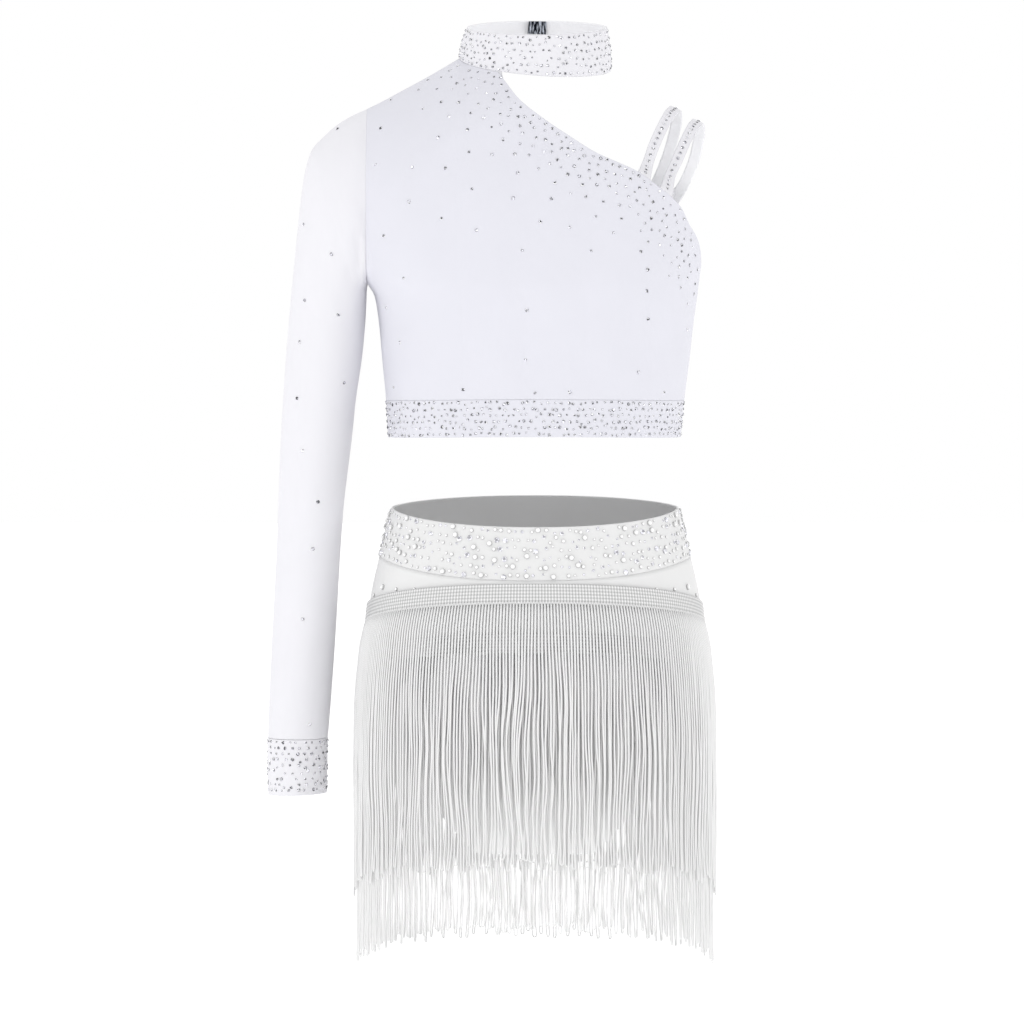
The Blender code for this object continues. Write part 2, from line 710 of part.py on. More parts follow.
def build():
    """Make every piece of the costume."""
    for old in list(bpy.data.objects):
        bpy.data.objects.remove(old)
    knit = new_material("white_knit", WHITE_KNIT, 0.75)
    stoned = new_material("stoned_knit", STONED_KNIT, 0.45)
    yarn = new_material("fringe_yarn", FRINGE_WHITE, 0.6)
    base = new_material("skirt_base", BRIEF_WHITE, 0.8)
    steel = new_material("steel", STEEL, 0.3, 1.0)
    build_bodice("bodice_front", False, knit)
    build_bodice("bodice_back", True, knit)
    build_sleeve(knit)
    build_cuff(stoned)
    build_hem_band(stoned)
    build_collar(stoned)
    for strap in STRAPS:
        build_strap(strap, stoned)
    build_closure(steel)
    build_waistband(stoned)
    build_brief("skirt_front", False, base)
    build_brief("skirt_back", True, base)
    build_gusset(base)
    build_fringe("fringe_upper", UPPER_TAPE, UPPER_ENDS, UPPER_LIFT, yarn)
    build_fringe("fringe_lower", LOWER_TAPE, LOWER_ENDS, LOWER_LIFT, yarn)


build()
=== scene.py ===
"""Dresses the fringe dance costume: stretch knit, set stones, looped fringe, steel hook and bar.

The file follows the costume as it is put together: the top from its bodice outwards, then the skirt from
its waistband down to the fringe. Sizes are in millimetres unless a name says otherwise.
"""

import math
import random
from collections import namedtuple

import bmesh
import bpy
from mathutils import Matrix, Vector, noise
from mathutils.bvhtree import BVHTree


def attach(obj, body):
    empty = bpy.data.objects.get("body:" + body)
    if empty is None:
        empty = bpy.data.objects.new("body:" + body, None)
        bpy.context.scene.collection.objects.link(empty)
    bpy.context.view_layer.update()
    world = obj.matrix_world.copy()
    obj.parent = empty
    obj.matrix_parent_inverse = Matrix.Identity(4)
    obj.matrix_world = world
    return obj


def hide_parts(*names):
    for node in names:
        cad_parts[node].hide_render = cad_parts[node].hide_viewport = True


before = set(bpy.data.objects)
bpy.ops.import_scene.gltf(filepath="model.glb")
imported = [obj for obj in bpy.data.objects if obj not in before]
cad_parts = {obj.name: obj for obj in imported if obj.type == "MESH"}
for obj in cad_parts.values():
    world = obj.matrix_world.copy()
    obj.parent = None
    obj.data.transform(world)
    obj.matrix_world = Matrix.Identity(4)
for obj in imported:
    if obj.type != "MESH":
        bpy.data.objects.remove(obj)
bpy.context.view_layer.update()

# The studio
# A pale floor at the height of a wearer's feet runs out under a white sky, brighter above than below.
# A soft key stands up to the left, and small lamps round the camera wake the stones.

CAMERA_DISTANCE_M = 4.0
CAMERA_ACROSS_M = -0.0177
CAMERA_HEIGHT_M = -0.003
CAMERA_PITCH = math.radians(2.5)
METRES_PER_PIXEL = 0.00077
IMAGE_PIXELS = 1024
SENSOR_MM = 36.0
FLOOR_Z_M = -0.93

view_transform = bpy.context.scene.view_settings
view_transform.view_transform = "Standard"
view_transform.look = "None"

camera_data = bpy.data.cameras.new("camera")
camera_data.sensor_width = SENSOR_MM
camera_data.lens = SENSOR_MM * (CAMERA_DISTANCE_M / METRES_PER_PIXEL) / IMAGE_PIXELS
camera_data.clip_end = 60.0
camera = bpy.data.objects.new("camera", camera_data)
camera.location = (
    CAMERA_ACROSS_M,
    -CAMERA_DISTANCE_M * math.cos(CAMERA_PITCH),
    CAMERA_HEIGHT_M + CAMERA_DISTANCE_M * math.sin(CAMERA_PITCH),
)
camera.rotation_euler = (math.pi / 2 - CAMERA_PITCH, 0.0, 0.0)
bpy.context.collection.objects.link(camera)
bpy.context.scene.camera = camera

bpy.ops.object.select_all(action="DESELECT")
bpy.ops.mesh.primitive_plane_add(size=40.0, location=(0.0, 0.0, FLOOR_Z_M))
studio_floor = bpy.context.object
studio_floor.name = "studio_floor"

floor_paint = bpy.data.materials.new("floor_paint")
floor_paint.use_nodes = True
floor_shader = floor_paint.node_tree.nodes["Principled BSDF"]
floor_shader.inputs["Base Color"].default_value = (0.97, 0.97, 0.97, 1)
floor_shader.inputs["Roughness"].default_value = 0.9
floor_shader.inputs["Emission Color"].default_value = (1.0, 1.0, 1.0, 1)
floor_shader.inputs["Emission Strength"].default_value = 0.30
studio_floor.data.materials.append(floor_paint)

sky = bpy.data.worlds.new("studio_sky")
sky.use_nodes = True
sky_nodes, sky_links = sky.node_tree.nodes, sky.node_tree.links
sky_place = sky_nodes.new("ShaderNodeTexCoord")
sky_parts = sky_nodes.new("ShaderNodeSeparateXYZ")
sky_ramp = sky_nodes.new("ShaderNodeMapRange")
sky_ramp.inputs["From Min"].default_value = -1.0
sky_ramp.inputs["From Max"].default_value = 1.0
sky_ramp.inputs["To Min"].default_value = 0.37
sky_ramp.inputs["To Max"].default_value = 1.07
sky_links.new(sky_place.outputs["Generated"], sky_parts.inputs[0])
sky_links.new(sky_parts.outputs["Z"], sky_ramp.inputs["Value"])
sky_seen = sky_nodes.new("ShaderNodeLightPath")
sky_white = sky_nodes.new("ShaderNodeMath")
sky_white.operation = "MAXIMUM"
sky_links.new(sky_ramp.outputs["Result"], sky_white.inputs[0])
sky_links.new(sky_seen.outputs["Is Camera Ray"], sky_white.inputs[1])
sky_links.new(sky_white.outputs["Value"], sky_nodes["Background"].inputs["Strength"])
sky_nodes["Background"].inputs["Color"].default_value = (1.0, 1.0, 1.0, 1)
bpy.context.scene.world = sky

Lamp = namedtuple("Lamp", "name across deep height side watts")
LAMPS = [
    Lamp("key_lamp", -2.6, -1.4, 1.1, 0.9, 12.0),
    Lamp("side_lamp", 2.6, -1.4, 0.6, 0.9, 7.0),
    Lamp("stone_lamp_left", -0.9, -3.2, 0.5, 0.2, 1.2),
    Lamp("stone_lamp_right", 1.3, -2.9, 0.9, 0.2, 1.5),
    Lamp("stone_lamp_low", 0.4, -3.2, -0.4, 0.2, 1.0),
    Lamp("back_lamp", 1.4, 2.6, 1.2, 0.8, 5.0),
]
for lamp in LAMPS:
    light = bpy.data.lights.new(lamp.name, "AREA")
    light.size = lamp.side
    light.energy = lamp.watts
    stand = bpy.data.objects.new(lamp.name, light)
    stand.location = (lamp.across, lamp.deep, lamp.height)
    stand.rotation_euler = (-stand.location).to_track_quat("-Z", "Y").to_euler()
    bpy.context.collection.objects.link(stand)

# The bodice
# Two panels of white stretch knit, front and back, joined at the sides and over the right shoulder.
# They keep the form of a general chest, and the cut slants from the collar to under the left arm.

MM = 0.001  # metres in a millimetre
CLOTH = 1.4
SEAM = 0.03
HALF_SEAM = SEAM / 2
ROUNDNESS = 2.25  # power of the body's sections: 2 is an ellipse
ARMHOLE_X = -128.7
ARMPIT_X = 127.5
HEM_SEAM_Z = 83.4
HEM_LIFT = 2.0
SHOULDER_ROUND = 70.0
NECK_BLEND = 60.0
NECK_FRONT_X = -28.3
RIM_TURN = 0.03  # how far a rounded edge draws in, as a share of the thickness
EDGE_ROW = 0.003  # a close row that keeps an edge crisp

Torso = namedtuple("Torso", "height left right front back")
TORSO = [
    Torso(52, 112.9, 111.8, 81, 80),
    Torso(84, 114.6, 114.8, 82, 80),
    Torso(112, 117.2, 118.4, 84, 82),
    Torso(143, 120.0, 121.8, 88, 85),
    Torso(163, 123.2, 124.6, 91, 87),
    Torso(173, 128.9, 125.8, 92, 88),
    Torso(186, 134.0, 127.5, 92, 88),
    Torso(210, 140.5, 129.6, 91, 88),
    Torso(240, 146.0, 130.8, 88, 88),
    Torso(275, 149.0, 131.0, 80, 84),
    Torso(307, 150.0, 131.0, 71, 76),
    Torso(335, 150.0, 131.0, 57, 62),
    Torso(352, 150.0, 131.0, 52, 54),
]
Shoulder = namedtuple("Shoulder", "out height")
SHOULDER = [
    Shoulder(0, 368),
    Shoulder(28, 362),
    Shoulder(58.4, 345.1),
    Shoulder(79, 333),
    Shoulder(101, 321),
    Shoulder(129, 306.6),
    Shoulder(150, 299),
]
Neckline = namedtuple("Neckline", "across front back")
NECKLINE = [
    Neckline(-28.3, 333.2, 352.5),
    Neckline(-24.5, 328.2, 332.0),
    Neckline(-20.0, 321.6, 316.0),
    Neckline(-11.7, 311.3, 302.0),
    Neckline(8.7, 295.2, 287.0),
    Neckline(22.2, 286.1, 279.0),
    Neckline(46.4, 271.0, 265.0),
    Neckline(63.1, 263.7, 257.0),
    Neckline(76.1, 257.8, 251.0),
    Neckline(93.0, 246.0, 243.0),
    Neckline(110.2, 230.9, 231.5),
    Neckline(117.2, 217.3, 219.0),
    Neckline(122.9, 208.3, 209.0),
    Neckline(126.4, 197.7, 198.0),
    Neckline(127.5, 186.2, 186.2),
]
Ring = namedtuple("Ring", "centre half_width half_depth height tilt slant")
COLLAR_LOW = Ring(0.0, 58.4, 53.0, 341.0, 11.0, -4.5)
COLLAR_TOP = Ring(1.5, 53.7, 50.0, 368.9, 7.8, 0.0)

# Soft troughs where the knit draws in towards the underarm seams
Crease = namedtuple("Crease", "across height to_across to_height width depth")
CREASES = [
    Crease(-129.0, 174, -129.3, 206, 3.4, 7.0),
    Crease(-127, 180, -112, 152, 6.0, 2.2),
    Crease(-127, 188, -104, 180, 5.0, 1.4),
    Crease(-131, 188, -140, 150, 5.0, 2.0),
    Crease(-131, 198, -148, 184, 5.0, 1.2),
    Crease(-131, 216, -143, 240, 6.0, 0.9),
    Crease(126, 188, 112, 172, 6.0, 1.4),
    Crease(126, 200, 100, 205, 8.0, 0.9),
    Crease(122, 130, 100, 122, 9.0, 0.9),
    Crease(-118, 128, -88, 118, 9.0, 0.9),
]
# Long soft waves in which the panels hang between the chest and the hem
Wave = namedtuple("Wave", "across width depth")
WAVES = [Wave(-78, 17, 2.6), Wave(-32, 15, -2.5), Wave(14, 18, 1.7), Wave(62, 16, -2.2), Wave(98, 12, 1.5)]
WAVE_TOP_Z = 255.0
WAVE_FADE = 120.0
HEM_HOLD = 30.0  # the hem band holds the waves flat up to this far above it
CREASE_EDGE_Y = 12.0  # creases fade out this near the panels' side edges
CREASE_FADE = 0.7  # how much of its depth a crease loses towards its far end


def slopes(spots, values):
    """Slopes of a smooth curve through points, none of which it overshoots."""
    steps = [(b - a) / (q - p) for p, q, a, b in zip(spots, spots[1:], values, values[1:])]
    inner = [2 * a * b / (a + b) if a * b > 0 else 0.0 for a, b in zip(steps, steps[1:])]
    return [steps[0], *inner, steps[-1]]


def smooth_value(spots, values, lean, at):
    """A smooth curve's value between its points."""
    at = min(max(at, spots[0]), spots[-1])
    index = max(i for i, spot in enumerate(spots[:-1]) if spot <= at)
    width = spots[index + 1] - spots[index]
    t = (at - spots[index]) / width
    return (
        (1 + 2 * t) * (1 - t) ** 2 * values[index]
        + t * t * (3 - 2 * t) * values[index + 1]
        + width * t * (1 - t) * ((1 - t) * lean[index] - t * lean[index + 1])
    )


known_curves = {}


def curve(table, name, at):
    """A named column of a table, read at any value of its first column as a smooth curve."""
    key = (id(table), name)
    if key not in known_curves:
        rows = sorted(table)
        spots, values = [row[0] for row in rows], [getattr(row, name) for row in rows]
        known_curves[key] = (spots, values, slopes(spots, values))
    return smooth_value(*known_curves[key], at)


def ease(value):
    """A soft step from 0 to 1."""
    t = min(max(value, 0.0), 1.0)
    return t * t * (3 - 2 * t)


def bulge(share):
    """How deep a body section still is at this share of its half width."""
    return max(0.0, 1 - min(abs(share), 1.0) ** ROUNDNESS) ** (1 / ROUNDNESS)


def bent(value):
    """A cosine or sine, bent to the body's squarer sections."""
    return math.copysign(abs(value) ** (2 / ROUNDNESS), value)


def steps_between(count, edge=EDGE_ROW):
    """Even steps from 0 to 1, with a close one at each end."""
    return [0.0, edge, *[i / count for i in range(1, count)], 1 - edge, 1.0]


def face_lines(rows, around, heart):
    """The outward direction at each point of a face given as rows of points."""
    last_row, last = len(rows) - 1, len(rows[0]) - 1
    lines = []
    total = 0.0
    for r, row in enumerate(rows):
        middle = sum(row, Vector()) / len(row) if around else heart
        line = []
        for c, point in enumerate(row):
            left = row[c - 1] if around or c else row[0]
            right = row[(c + 1) % len(row)] if around or c < last else row[last]
            up = rows[min(r + 1, last_row)][c] - rows[max(r - 1, 0)][c]
            line.append((right - left).cross(up).normalized())
            total += line[-1].dot(point - middle)
        lines.append(line)
    return lines if total > 0 else [[-normal for normal in line] for line in lines]


def rounded_rim(outer, inner, outer_next, inner_next, thickness):
    """An edge's three rows: the outer and inner ones drawn in, and the middle one out at the edge."""
    out_row = [p + (q - p).normalized() * thickness * RIM_TURN for p, q in zip(outer, outer_next)]
    in_row = [p + (q - p).normalized() * thickness * RIM_TURN for p, q in zip(inner, inner_next)]
    return out_row, [(p + q) / 2 for p, q in zip(outer, inner)], in_row


def finished_piece(name, bm, paints):
    """A new object with this mesh and these paints, on the costume's one body."""
    mesh = bpy.data.meshes.new(name)
    bm.to_mesh(mesh)
    bm.free()
    for paint in paints:
        mesh.materials.append(paint)
    piece = bpy.data.objects.new(name, mesh)
    bpy.context.collection.objects.link(piece)
    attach(piece, "root")
    return piece


def ring_rises(rings, middle):
    """How far up the cloth each ring lies from the first, down its middle column and round the edges."""
    rises = [0.0]
    for before, after in zip(rings, rings[1:] + rings[:1]):
        rises.append(rises[-1] + (after[middle] - before[middle]).length)
    return rises


def ring_travels(rings, middle):
    """How far across the cloth each point of each ring lies from its middle column."""
    travels = []
    for ring in rings:
        travel = [0.0]
        for point, after in zip(ring, ring[1:] + ring[:1]):
            travel.append(travel[-1] + (after - point).length)
        travels.append([t - travel[middle] for t in travel])
    return travels


def cloth(name, rows, thickness, paints, around=False, keep=None, heart=Vector(), lines=None, bend=None,
          painted_groove_shade=None):
    """A thin closed sheet of cloth with rounded edges, its outer face given as rows of points."""
    lines = lines or face_lines(rows, around, heart)
    if bend:
        rows = [[p + bend(p) for p in row] for row in rows]
    inner = [[p - n * thickness for p, n in zip(row, line)] for row, line in zip(rows, lines)]
    if keep:
        inner = [[keep(point) for point in row] for row in inner]
    outer = [list(row) for row in rows]
    low_out, low_mid, low_in = rounded_rim(outer[0], inner[0], outer[1], inner[1], thickness)
    top_out, top_mid, top_in = rounded_rim(outer[-1], inner[-1], outer[-2], inner[-2], thickness)
    outer[0], inner[0], outer[-1], inner[-1] = low_out, low_in, top_out, top_in
    rings = [low_mid, *outer, top_mid, *reversed(inner)]
    count = len(rings[0])
    columns = count if around else count - 1
    rises, travels = ring_rises(rings, count // 2), ring_travels(rings, count // 2)
    bm = bmesh.new()
    cloth_uv = bm.loops.layers.uv.new("cloth_metres")
    groove_shade_paint = bm.loops.layers.color.new("groove_shade_paint") if painted_groove_shade else None
    grid = [[bm.verts.new(p * MM) for p in ring] for ring in rings]
    outer_rows = len(outer) + 1
    for r in range(len(rings)):
        s = (r + 1) % len(rings)
        for c in range(columns):
            d = (c + 1) % count
            face = bm.faces.new((grid[r][c], grid[r][d], grid[s][d], grid[s][c]))
            face.material_index = 0 if r < outer_rows or len(paints) == 1 else 1
            face.smooth = True
            spots = ((r, c, rises[r]), (r, c + 1, rises[r]), (s, c + 1, rises[r + 1]), (s, c, rises[r + 1]))
            for corner, (k, column, rise) in zip(face.loops, spots):
                corner[cloth_uv].uv = (travels[k][column] * MM, rise * MM)
                # The grid value is also written to a colour layer, which the braid's material turns into
                # painted shade in the grooves.
                if painted_groove_shade:
                    tone = painted_groove_shade(k - 1, column % count) if 0 < k <= len(outer) else 0.0
                    corner[groove_shade_paint] = (tone, tone, tone, 1)
    if not around:
        for c in (0, count - 1):
            middle_out = [(outer[r][c] + inner[r][c]) / 2 for r in range(len(outer))]
            close_side(bm, grid, c, middle_out, len(outer))
    bmesh.ops.recalc_face_normals(bm, faces=bm.faces)
    return finished_piece(name, bm, paints)


def close_side(bm, grid, column, middles, count):
    """Close one side of a sheet that doesn't run all the way round."""
    rings = len(grid)
    spine = [bm.verts.new(p * MM) for p in middles]
    outer = [grid[1 + r][column] for r in range(count)]
    inner = [grid[rings - 1 - r][column] for r in range(count)]
    low, top = grid[0][column], grid[count + 1][column]
    for side in (outer, inner):
        for r in range(count - 1):
            bm.faces.new((side[r], side[r + 1], spine[r + 1], spine[r])).smooth = True
        bm.faces.new((side[0], spine[0], low)).smooth = True
        bm.faces.new((side[-1], spine[-1], top)).smooth = True


def torso_depth(across, height, back):
    """How far the torso's face stands from its middle plane."""
    half_width = curve(TORSO, "right" if across > 0 else "left", height)
    half_depth = curve(TORSO, "back" if back else "front", height)
    under_shoulder = (curve(SHOULDER, "height", abs(across)) - height) / SHOULDER_ROUND
    rounding = math.sqrt(max(0.0, 1 - (1 - min(max(under_shoulder, 0.0), 1.0)) ** 2))
    return half_depth * bulge(across / half_width) * rounding


def collar_edge(ring, angle):
    """A point on one edge of the collar."""
    across = ring.half_width * math.cos(angle)
    deep = ring.half_depth * math.sin(angle)
    height = ring.height + ring.tilt * math.sin(angle) + ring.slant * math.cos(angle)
    return Vector((ring.centre + across, deep, height))


def collar_seat(across, back):
    """The point of the collar's lower edge that lies this far across."""
    ring = COLLAR_LOW
    share = min(max((across - ring.centre) / ring.half_width, -1.0), 1.0)
    angle = math.acos(share) if back else -math.acos(share)
    return collar_edge(ring, angle)


def bodice_top(across, back):
    """Height of a bodice panel's upper edge: shoulder, collar seam, neckline, then the bare arm's edge."""
    if across <= -COLLAR_LOW.half_width:
        return curve(SHOULDER, "height", -across)
    if across <= NECK_FRONT_X:
        return collar_seat(across, back).z - SEAM
    return curve(NECKLINE, "back" if back else "front", across)


def hem_seam(share, back):
    """Height of the seam above the hem band, a little higher at the centre front."""
    return HEM_SEAM_Z + (0 if back else HEM_LIFT * (1 - share * share))


def bodice_depth(across, height, back):
    """How far a bodice panel stands from the middle plane; towards the collar it is drawn to its seam."""
    deep = torso_depth(across, height, back) + HALF_SEAM
    if across <= -COLLAR_LOW.half_width:
        return deep
    seat = collar_seat(min(across, NECK_FRONT_X), back)
    near = 1 - ease((across - NECK_FRONT_X) / NECK_BLEND)
    free = torso_depth(seat.x, seat.z, back)
    drawn = ((height - HEM_SEAM_Z) / (seat.z - HEM_SEAM_Z)) ** 3
    return deep + drawn * near * (abs(seat.y) - free)


def bodice_point(share, rise, back):
    """A point of a bodice panel: share runs from side to side, and rise from the hem to the upper edge."""
    limit = -ARMHOLE_X if share < 0 else ARMPIT_X
    top = bodice_top(share * limit, back)
    hem = hem_seam(share, back)
    height = hem + rise * (top - hem)
    across = share * min(curve(TORSO, "right" if share > 0 else "left", height), limit)
    deep = bodice_depth(across, height, back)
    return Vector((across, deep if back else -deep, height))


def bodice_line(point):
    """The outward direction of a bodice panel at a point, from its slopes a millimetre to each side."""
    back = point.y > 0
    aside = (bodice_depth(point.x + 1, point.z, back) - bodice_depth(point.x - 1, point.z, back)) / 2
    above = (bodice_depth(point.x, point.z + 1, back) - bodice_depth(point.x, point.z - 1, back)) / 2
    return Vector((-aside, 1 if back else -1, -above)).normalized()


def out_or_in(point, depth):
    """A move of this depth, forwards on the front and backwards on the back."""
    return Vector((0, math.copysign(depth * ease(abs(point.y) / CREASE_EDGE_Y), point.y), 0))


def crease_depth(point):
    """How far the knit stands in or out at a place, from its creases."""
    depth = 0.0
    for crease in CREASES:
        start = Vector((crease.across, crease.height))
        run = Vector((crease.to_across, crease.to_height)) - start
        place = Vector((point.x, point.z)) - start
        share = min(max(place.dot(run) / run.length_squared, 0.0), 1.0)
        away = (place - run * share).length / crease.width
        depth -= crease.depth * math.exp(-away * away) * (1 - CREASE_FADE * share)
    return depth


def bodice_bend(point):
    """Creases at the sides and long soft waves down the front and back, none at the panel's edges."""
    fall = ease((WAVE_TOP_Z - point.z) / WAVE_FADE) * ease((point.z - HEM_SEAM_Z) / HEM_HOLD)
    waves = sum(w.depth * math.exp(-((point.x - w.across) / w.width) ** 2) for w in WAVES)
    return out_or_in(point, crease_depth(point) + fall * waves)


def side_shares(count):
    """Columns across a panel, closer together at the sides."""
    return [math.sin(math.pi / 2 * (2 * i / count - 1)) for i in range(count + 1)]


def bodice_shares(count):
    """Columns across a bodice panel, with one at each corner of the collar seam."""
    shares = side_shares(count)
    for corner in (COLLAR_LOW.half_width / ARMHOLE_X, NECK_FRONT_X / -ARMHOLE_X):
        nearest = min(range(len(shares)), key=lambda i: abs(shares[i] - corner))
        shares[nearest] = corner
    return shares


def side_keeper(back):
    """Keeps a panel's inner face on its own side of the seams."""
    def keep(point):
        deep = max(point.y, HALF_SEAM) if back else min(point.y, -HALF_SEAM)
        return Vector((max(point.x, ARMHOLE_X), deep, point.z))
    return keep


LOOP_SLANT = 1.4  # loops to a wale's width along the cloth
LOOP_HEIGHT = 0.25  # against a wale's height of 1
BLOTCH_SCALE = 22.0


def knit_effect():
    """Fine warp knit: wales along the cloth's length with small slanting loops between them."""
    group = bpy.data.node_groups.new("knit_loops", "ShaderNodeTree")
    group.interface.new_socket("Cloth", in_out="INPUT", socket_type="NodeSocketVector")
    group.interface.new_socket("Wales", in_out="INPUT", socket_type="NodeSocketFloat")
    group.interface.new_socket("Height", in_out="OUTPUT", socket_type="NodeSocketFloat")
    group.interface.new_socket("Mottle", in_out="OUTPUT", socket_type="NodeSocketFloat")
    nodes, links = group.nodes, group.links
    way_in, way_out = nodes.new("NodeGroupInput"), nodes.new("NodeGroupOutput")
    parts = nodes.new("ShaderNodeSeparateXYZ")
    links.new(way_in.outputs["Cloth"], parts.inputs[0])

    def reckon(kind, first, second=None, value=None):
        node = nodes.new("ShaderNodeMath")
        node.operation = kind
        links.new(first, node.inputs[0])
        if second is not None:
            links.new(second, node.inputs[1])
        elif value is not None:
            node.inputs[1].default_value = value
        return node.outputs[0]

    across = reckon("MULTIPLY", parts.outputs["X"], way_in.outputs["Wales"])
    along = reckon("MULTIPLY", parts.outputs["Y"], way_in.outputs["Wales"])
    wale = reckon("ABSOLUTE", reckon("SINE", across))
    slant = reckon("ADD", along, reckon("ABSOLUTE", across))
    loop = reckon("SINE", reckon("MULTIPLY", slant, value=LOOP_SLANT))
    height = reckon("MULTIPLY_ADD", loop, value=LOOP_HEIGHT)
    links.new(wale, height.node.inputs[2])
    links.new(height, way_out.inputs["Height"])
    blotch = nodes.new("ShaderNodeTexNoise")
    blotch.inputs["Scale"].default_value = BLOTCH_SCALE
    blotch.inputs["Detail"].default_value = 3.0
    links.new(way_in.outputs["Cloth"], blotch.inputs["Vector"])
    links.new(blotch.outputs["Fac"], way_out.inputs["Mottle"])
    return group


knit_loops = knit_effect()


def knit_paint(name, colour, wale_mm, depth, roughness, sheen):
    """A knitted cloth's finish: a colour that varies a little, loops as bump, and a soft nap."""
    paint = bpy.data.materials.new(name)
    paint.use_nodes = True
    nodes, links = paint.node_tree.nodes, paint.node_tree.links
    shader = nodes["Principled BSDF"]
    shader.inputs["Roughness"].default_value = roughness
    shader.inputs["Sheen Weight"].default_value = sheen
    shader.inputs["Sheen Roughness"].default_value = 0.5
    shader.inputs["Specular IOR Level"].default_value = 0.25
    place = nodes.new("ShaderNodeUVMap")
    place.uv_map = "cloth_metres"
    loops = nodes.new("ShaderNodeGroup")
    loops.node_tree = knit_loops
    loops.inputs["Wales"].default_value = math.pi / (wale_mm * MM)
    tone = nodes.new("ShaderNodeMix")
    tone.data_type = "RGBA"
    tone.inputs["A"].default_value = (*[c * 0.975 for c in colour], 1)
    tone.inputs["B"].default_value = (*[min(1.0, c * 1.02) for c in colour], 1)
    bump = nodes.new("ShaderNodeBump")
    bump.inputs["Strength"].default_value = 0.5
    bump.inputs["Distance"].default_value = depth * MM
    links.new(place.outputs["UV"], loops.inputs["Cloth"])
    links.new(loops.outputs["Mottle"], tone.inputs["Factor"])
    links.new(tone.outputs["Result"], shader.inputs["Base Color"])
    links.new(loops.outputs["Height"], bump.inputs["Height"])
    links.new(bump.outputs["Normal"], shader.inputs["Normal"])
    return paint


white_knit = knit_paint("white_knit", (0.71, 0.71, 0.768), 0.7, 0.06, 0.75, 0.12)
# The lining on the inner faces is the knit painted near-white, far lighter than its outer face: painted light
# in the hollows of the collar, straps, sleeve and bands.
lining_painted_light = knit_paint("lining_painted_light", (0.97, 0.97, 1.0), 0.9, 0.05, 0.8, 0.1)

BODICE_COLUMNS = 110
BODICE_ROWS = 70


def bodice_panel(name, node, back):
    """One bodice panel, a thin sheet on its solid's form."""
    shares = bodice_shares(BODICE_COLUMNS)
    rows = [[bodice_point(share, rise, back) for share in shares] for rise in steps_between(BODICE_ROWS)]
    lines = [[bodice_line(point) for point in row] for row in rows]
    keep = side_keeper(back)
    piece = cloth(name, rows, CLOTH, [white_knit, lining_painted_light], keep=keep, lines=lines, bend=bodice_bend)
    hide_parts(node)
    return piece


bodice_front_cloth = bodice_panel("bodice_front_cloth", "bodice_front", False)
bodice_back_cloth = bodice_panel("bodice_back_cloth", "bodice_back", True)

# The sleeve
# One long fitted sleeve of the same knit, painted lighter than the bodice as painted light, set into the
# right armhole with a plain round cap.
# It tapers to the wrist, and a few soft creases stand under the arm.

ARMHOLE_TOP = 306.6
ARMHOLE_LOW = 171.9
Sleeve = namedtuple("Sleeve", "out_x out_z in_x in_z depth")
SLEEVE = [
    Sleeve(-141.0, 301.0, -129.4, 166.0, 47.0),
    Sleeve(-153.0, 293.5, -129.6, 160.0, 47.0),
    Sleeve(-163.0, 284.5, -129.9, 153.0, 46.0),
    Sleeve(-171.5, 275.0, -130.3, 145.0, 44.0),
    Sleeve(-176.5, 259.0, -131.0, 136.0, 42.0),
    Sleeve(-180.0, 236.0, -132.0, 125.0, 39.5),
    Sleeve(-183.0, 208.0, -133.5, 112.0, 37.5),
    Sleeve(-186.0, 178.0, -135.8, 97.0, 35.5),
    Sleeve(-189.0, 147.0, -138.2, 80.0, 33.5),
    Sleeve(-191.5, 116.0, -140.2, 60.0, 32.0),
    Sleeve(-193.8, 84.0, -143.0, 37.0, 31.0),
    Sleeve(-196.3, 38.0, -147.0, 4.0, 29.5),
    Sleeve(-199.2, -35.0, -150.3, -40.0, 27.5),
    Sleeve(-202.2, -92.0, -153.4, -93.0, 25.5),
    Sleeve(-204.8, -145.0, -157.0, -144.0, 23.5),
    Sleeve(-206.0, -176.8, -159.7, -176.8, 22.5),
]
SLEEVE_COLUMNS = 72
SLEEVE_STEPS = 8  # rows between two of the table's sections
SLEEVE_EDGE = 0.01  # its close end rows, as a share of one section's length


def sleeve_section(row, columns=SLEEVE_COLUMNS):
    """An oval through the outer and inner outline."""
    outer, inner = Vector((row.out_x, 0, row.out_z)), Vector((row.in_x, 0, row.in_z))
    middle, half = (outer + inner) / 2, (outer - inner) / 2
    turns = [2 * math.pi * i / columns for i in range(columns)]
    return [middle + half * math.cos(a) + Vector((0, row.depth * math.sin(a), 0)) for a in turns]


def armhole_section():
    """The sleeve's first section, which meets the bodice's armhole."""
    middle, half = (ARMHOLE_TOP + ARMHOLE_LOW) / 2, (ARMHOLE_TOP - ARMHOLE_LOW) / 2
    points = []
    for i in range(SLEEVE_COLUMNS):
        angle = 2 * math.pi * i / SLEEVE_COLUMNS
        height = middle + half * math.cos(angle)
        deep = torso_depth(ARMHOLE_X, height, math.sin(angle) > 0)
        points.append(Vector((ARMHOLE_X - SEAM, math.copysign(deep, math.sin(angle)), height)))
    return points


def refine(rows, steps, edge=EDGE_ROW):
    """Rows with smooth ones between them, and a close one at each end."""
    spots = list(range(len(rows)))
    places = [i / steps for i in range((len(rows) - 1) * steps + 1)]
    places = [0.0, edge, *places[1:-1], spots[-1] - edge, float(spots[-1])]
    fine = [[] for _ in places]
    for c in range(len(rows[0])):
        for axis in range(3):
            values = [row[c][axis] for row in rows]
            lean = slopes(spots, values)
            for place, line in zip(places, fine):
                if axis == 0:
                    line.append(Vector())
                line[c][axis] = smooth_value(spots, values, lean, place)
    return fine


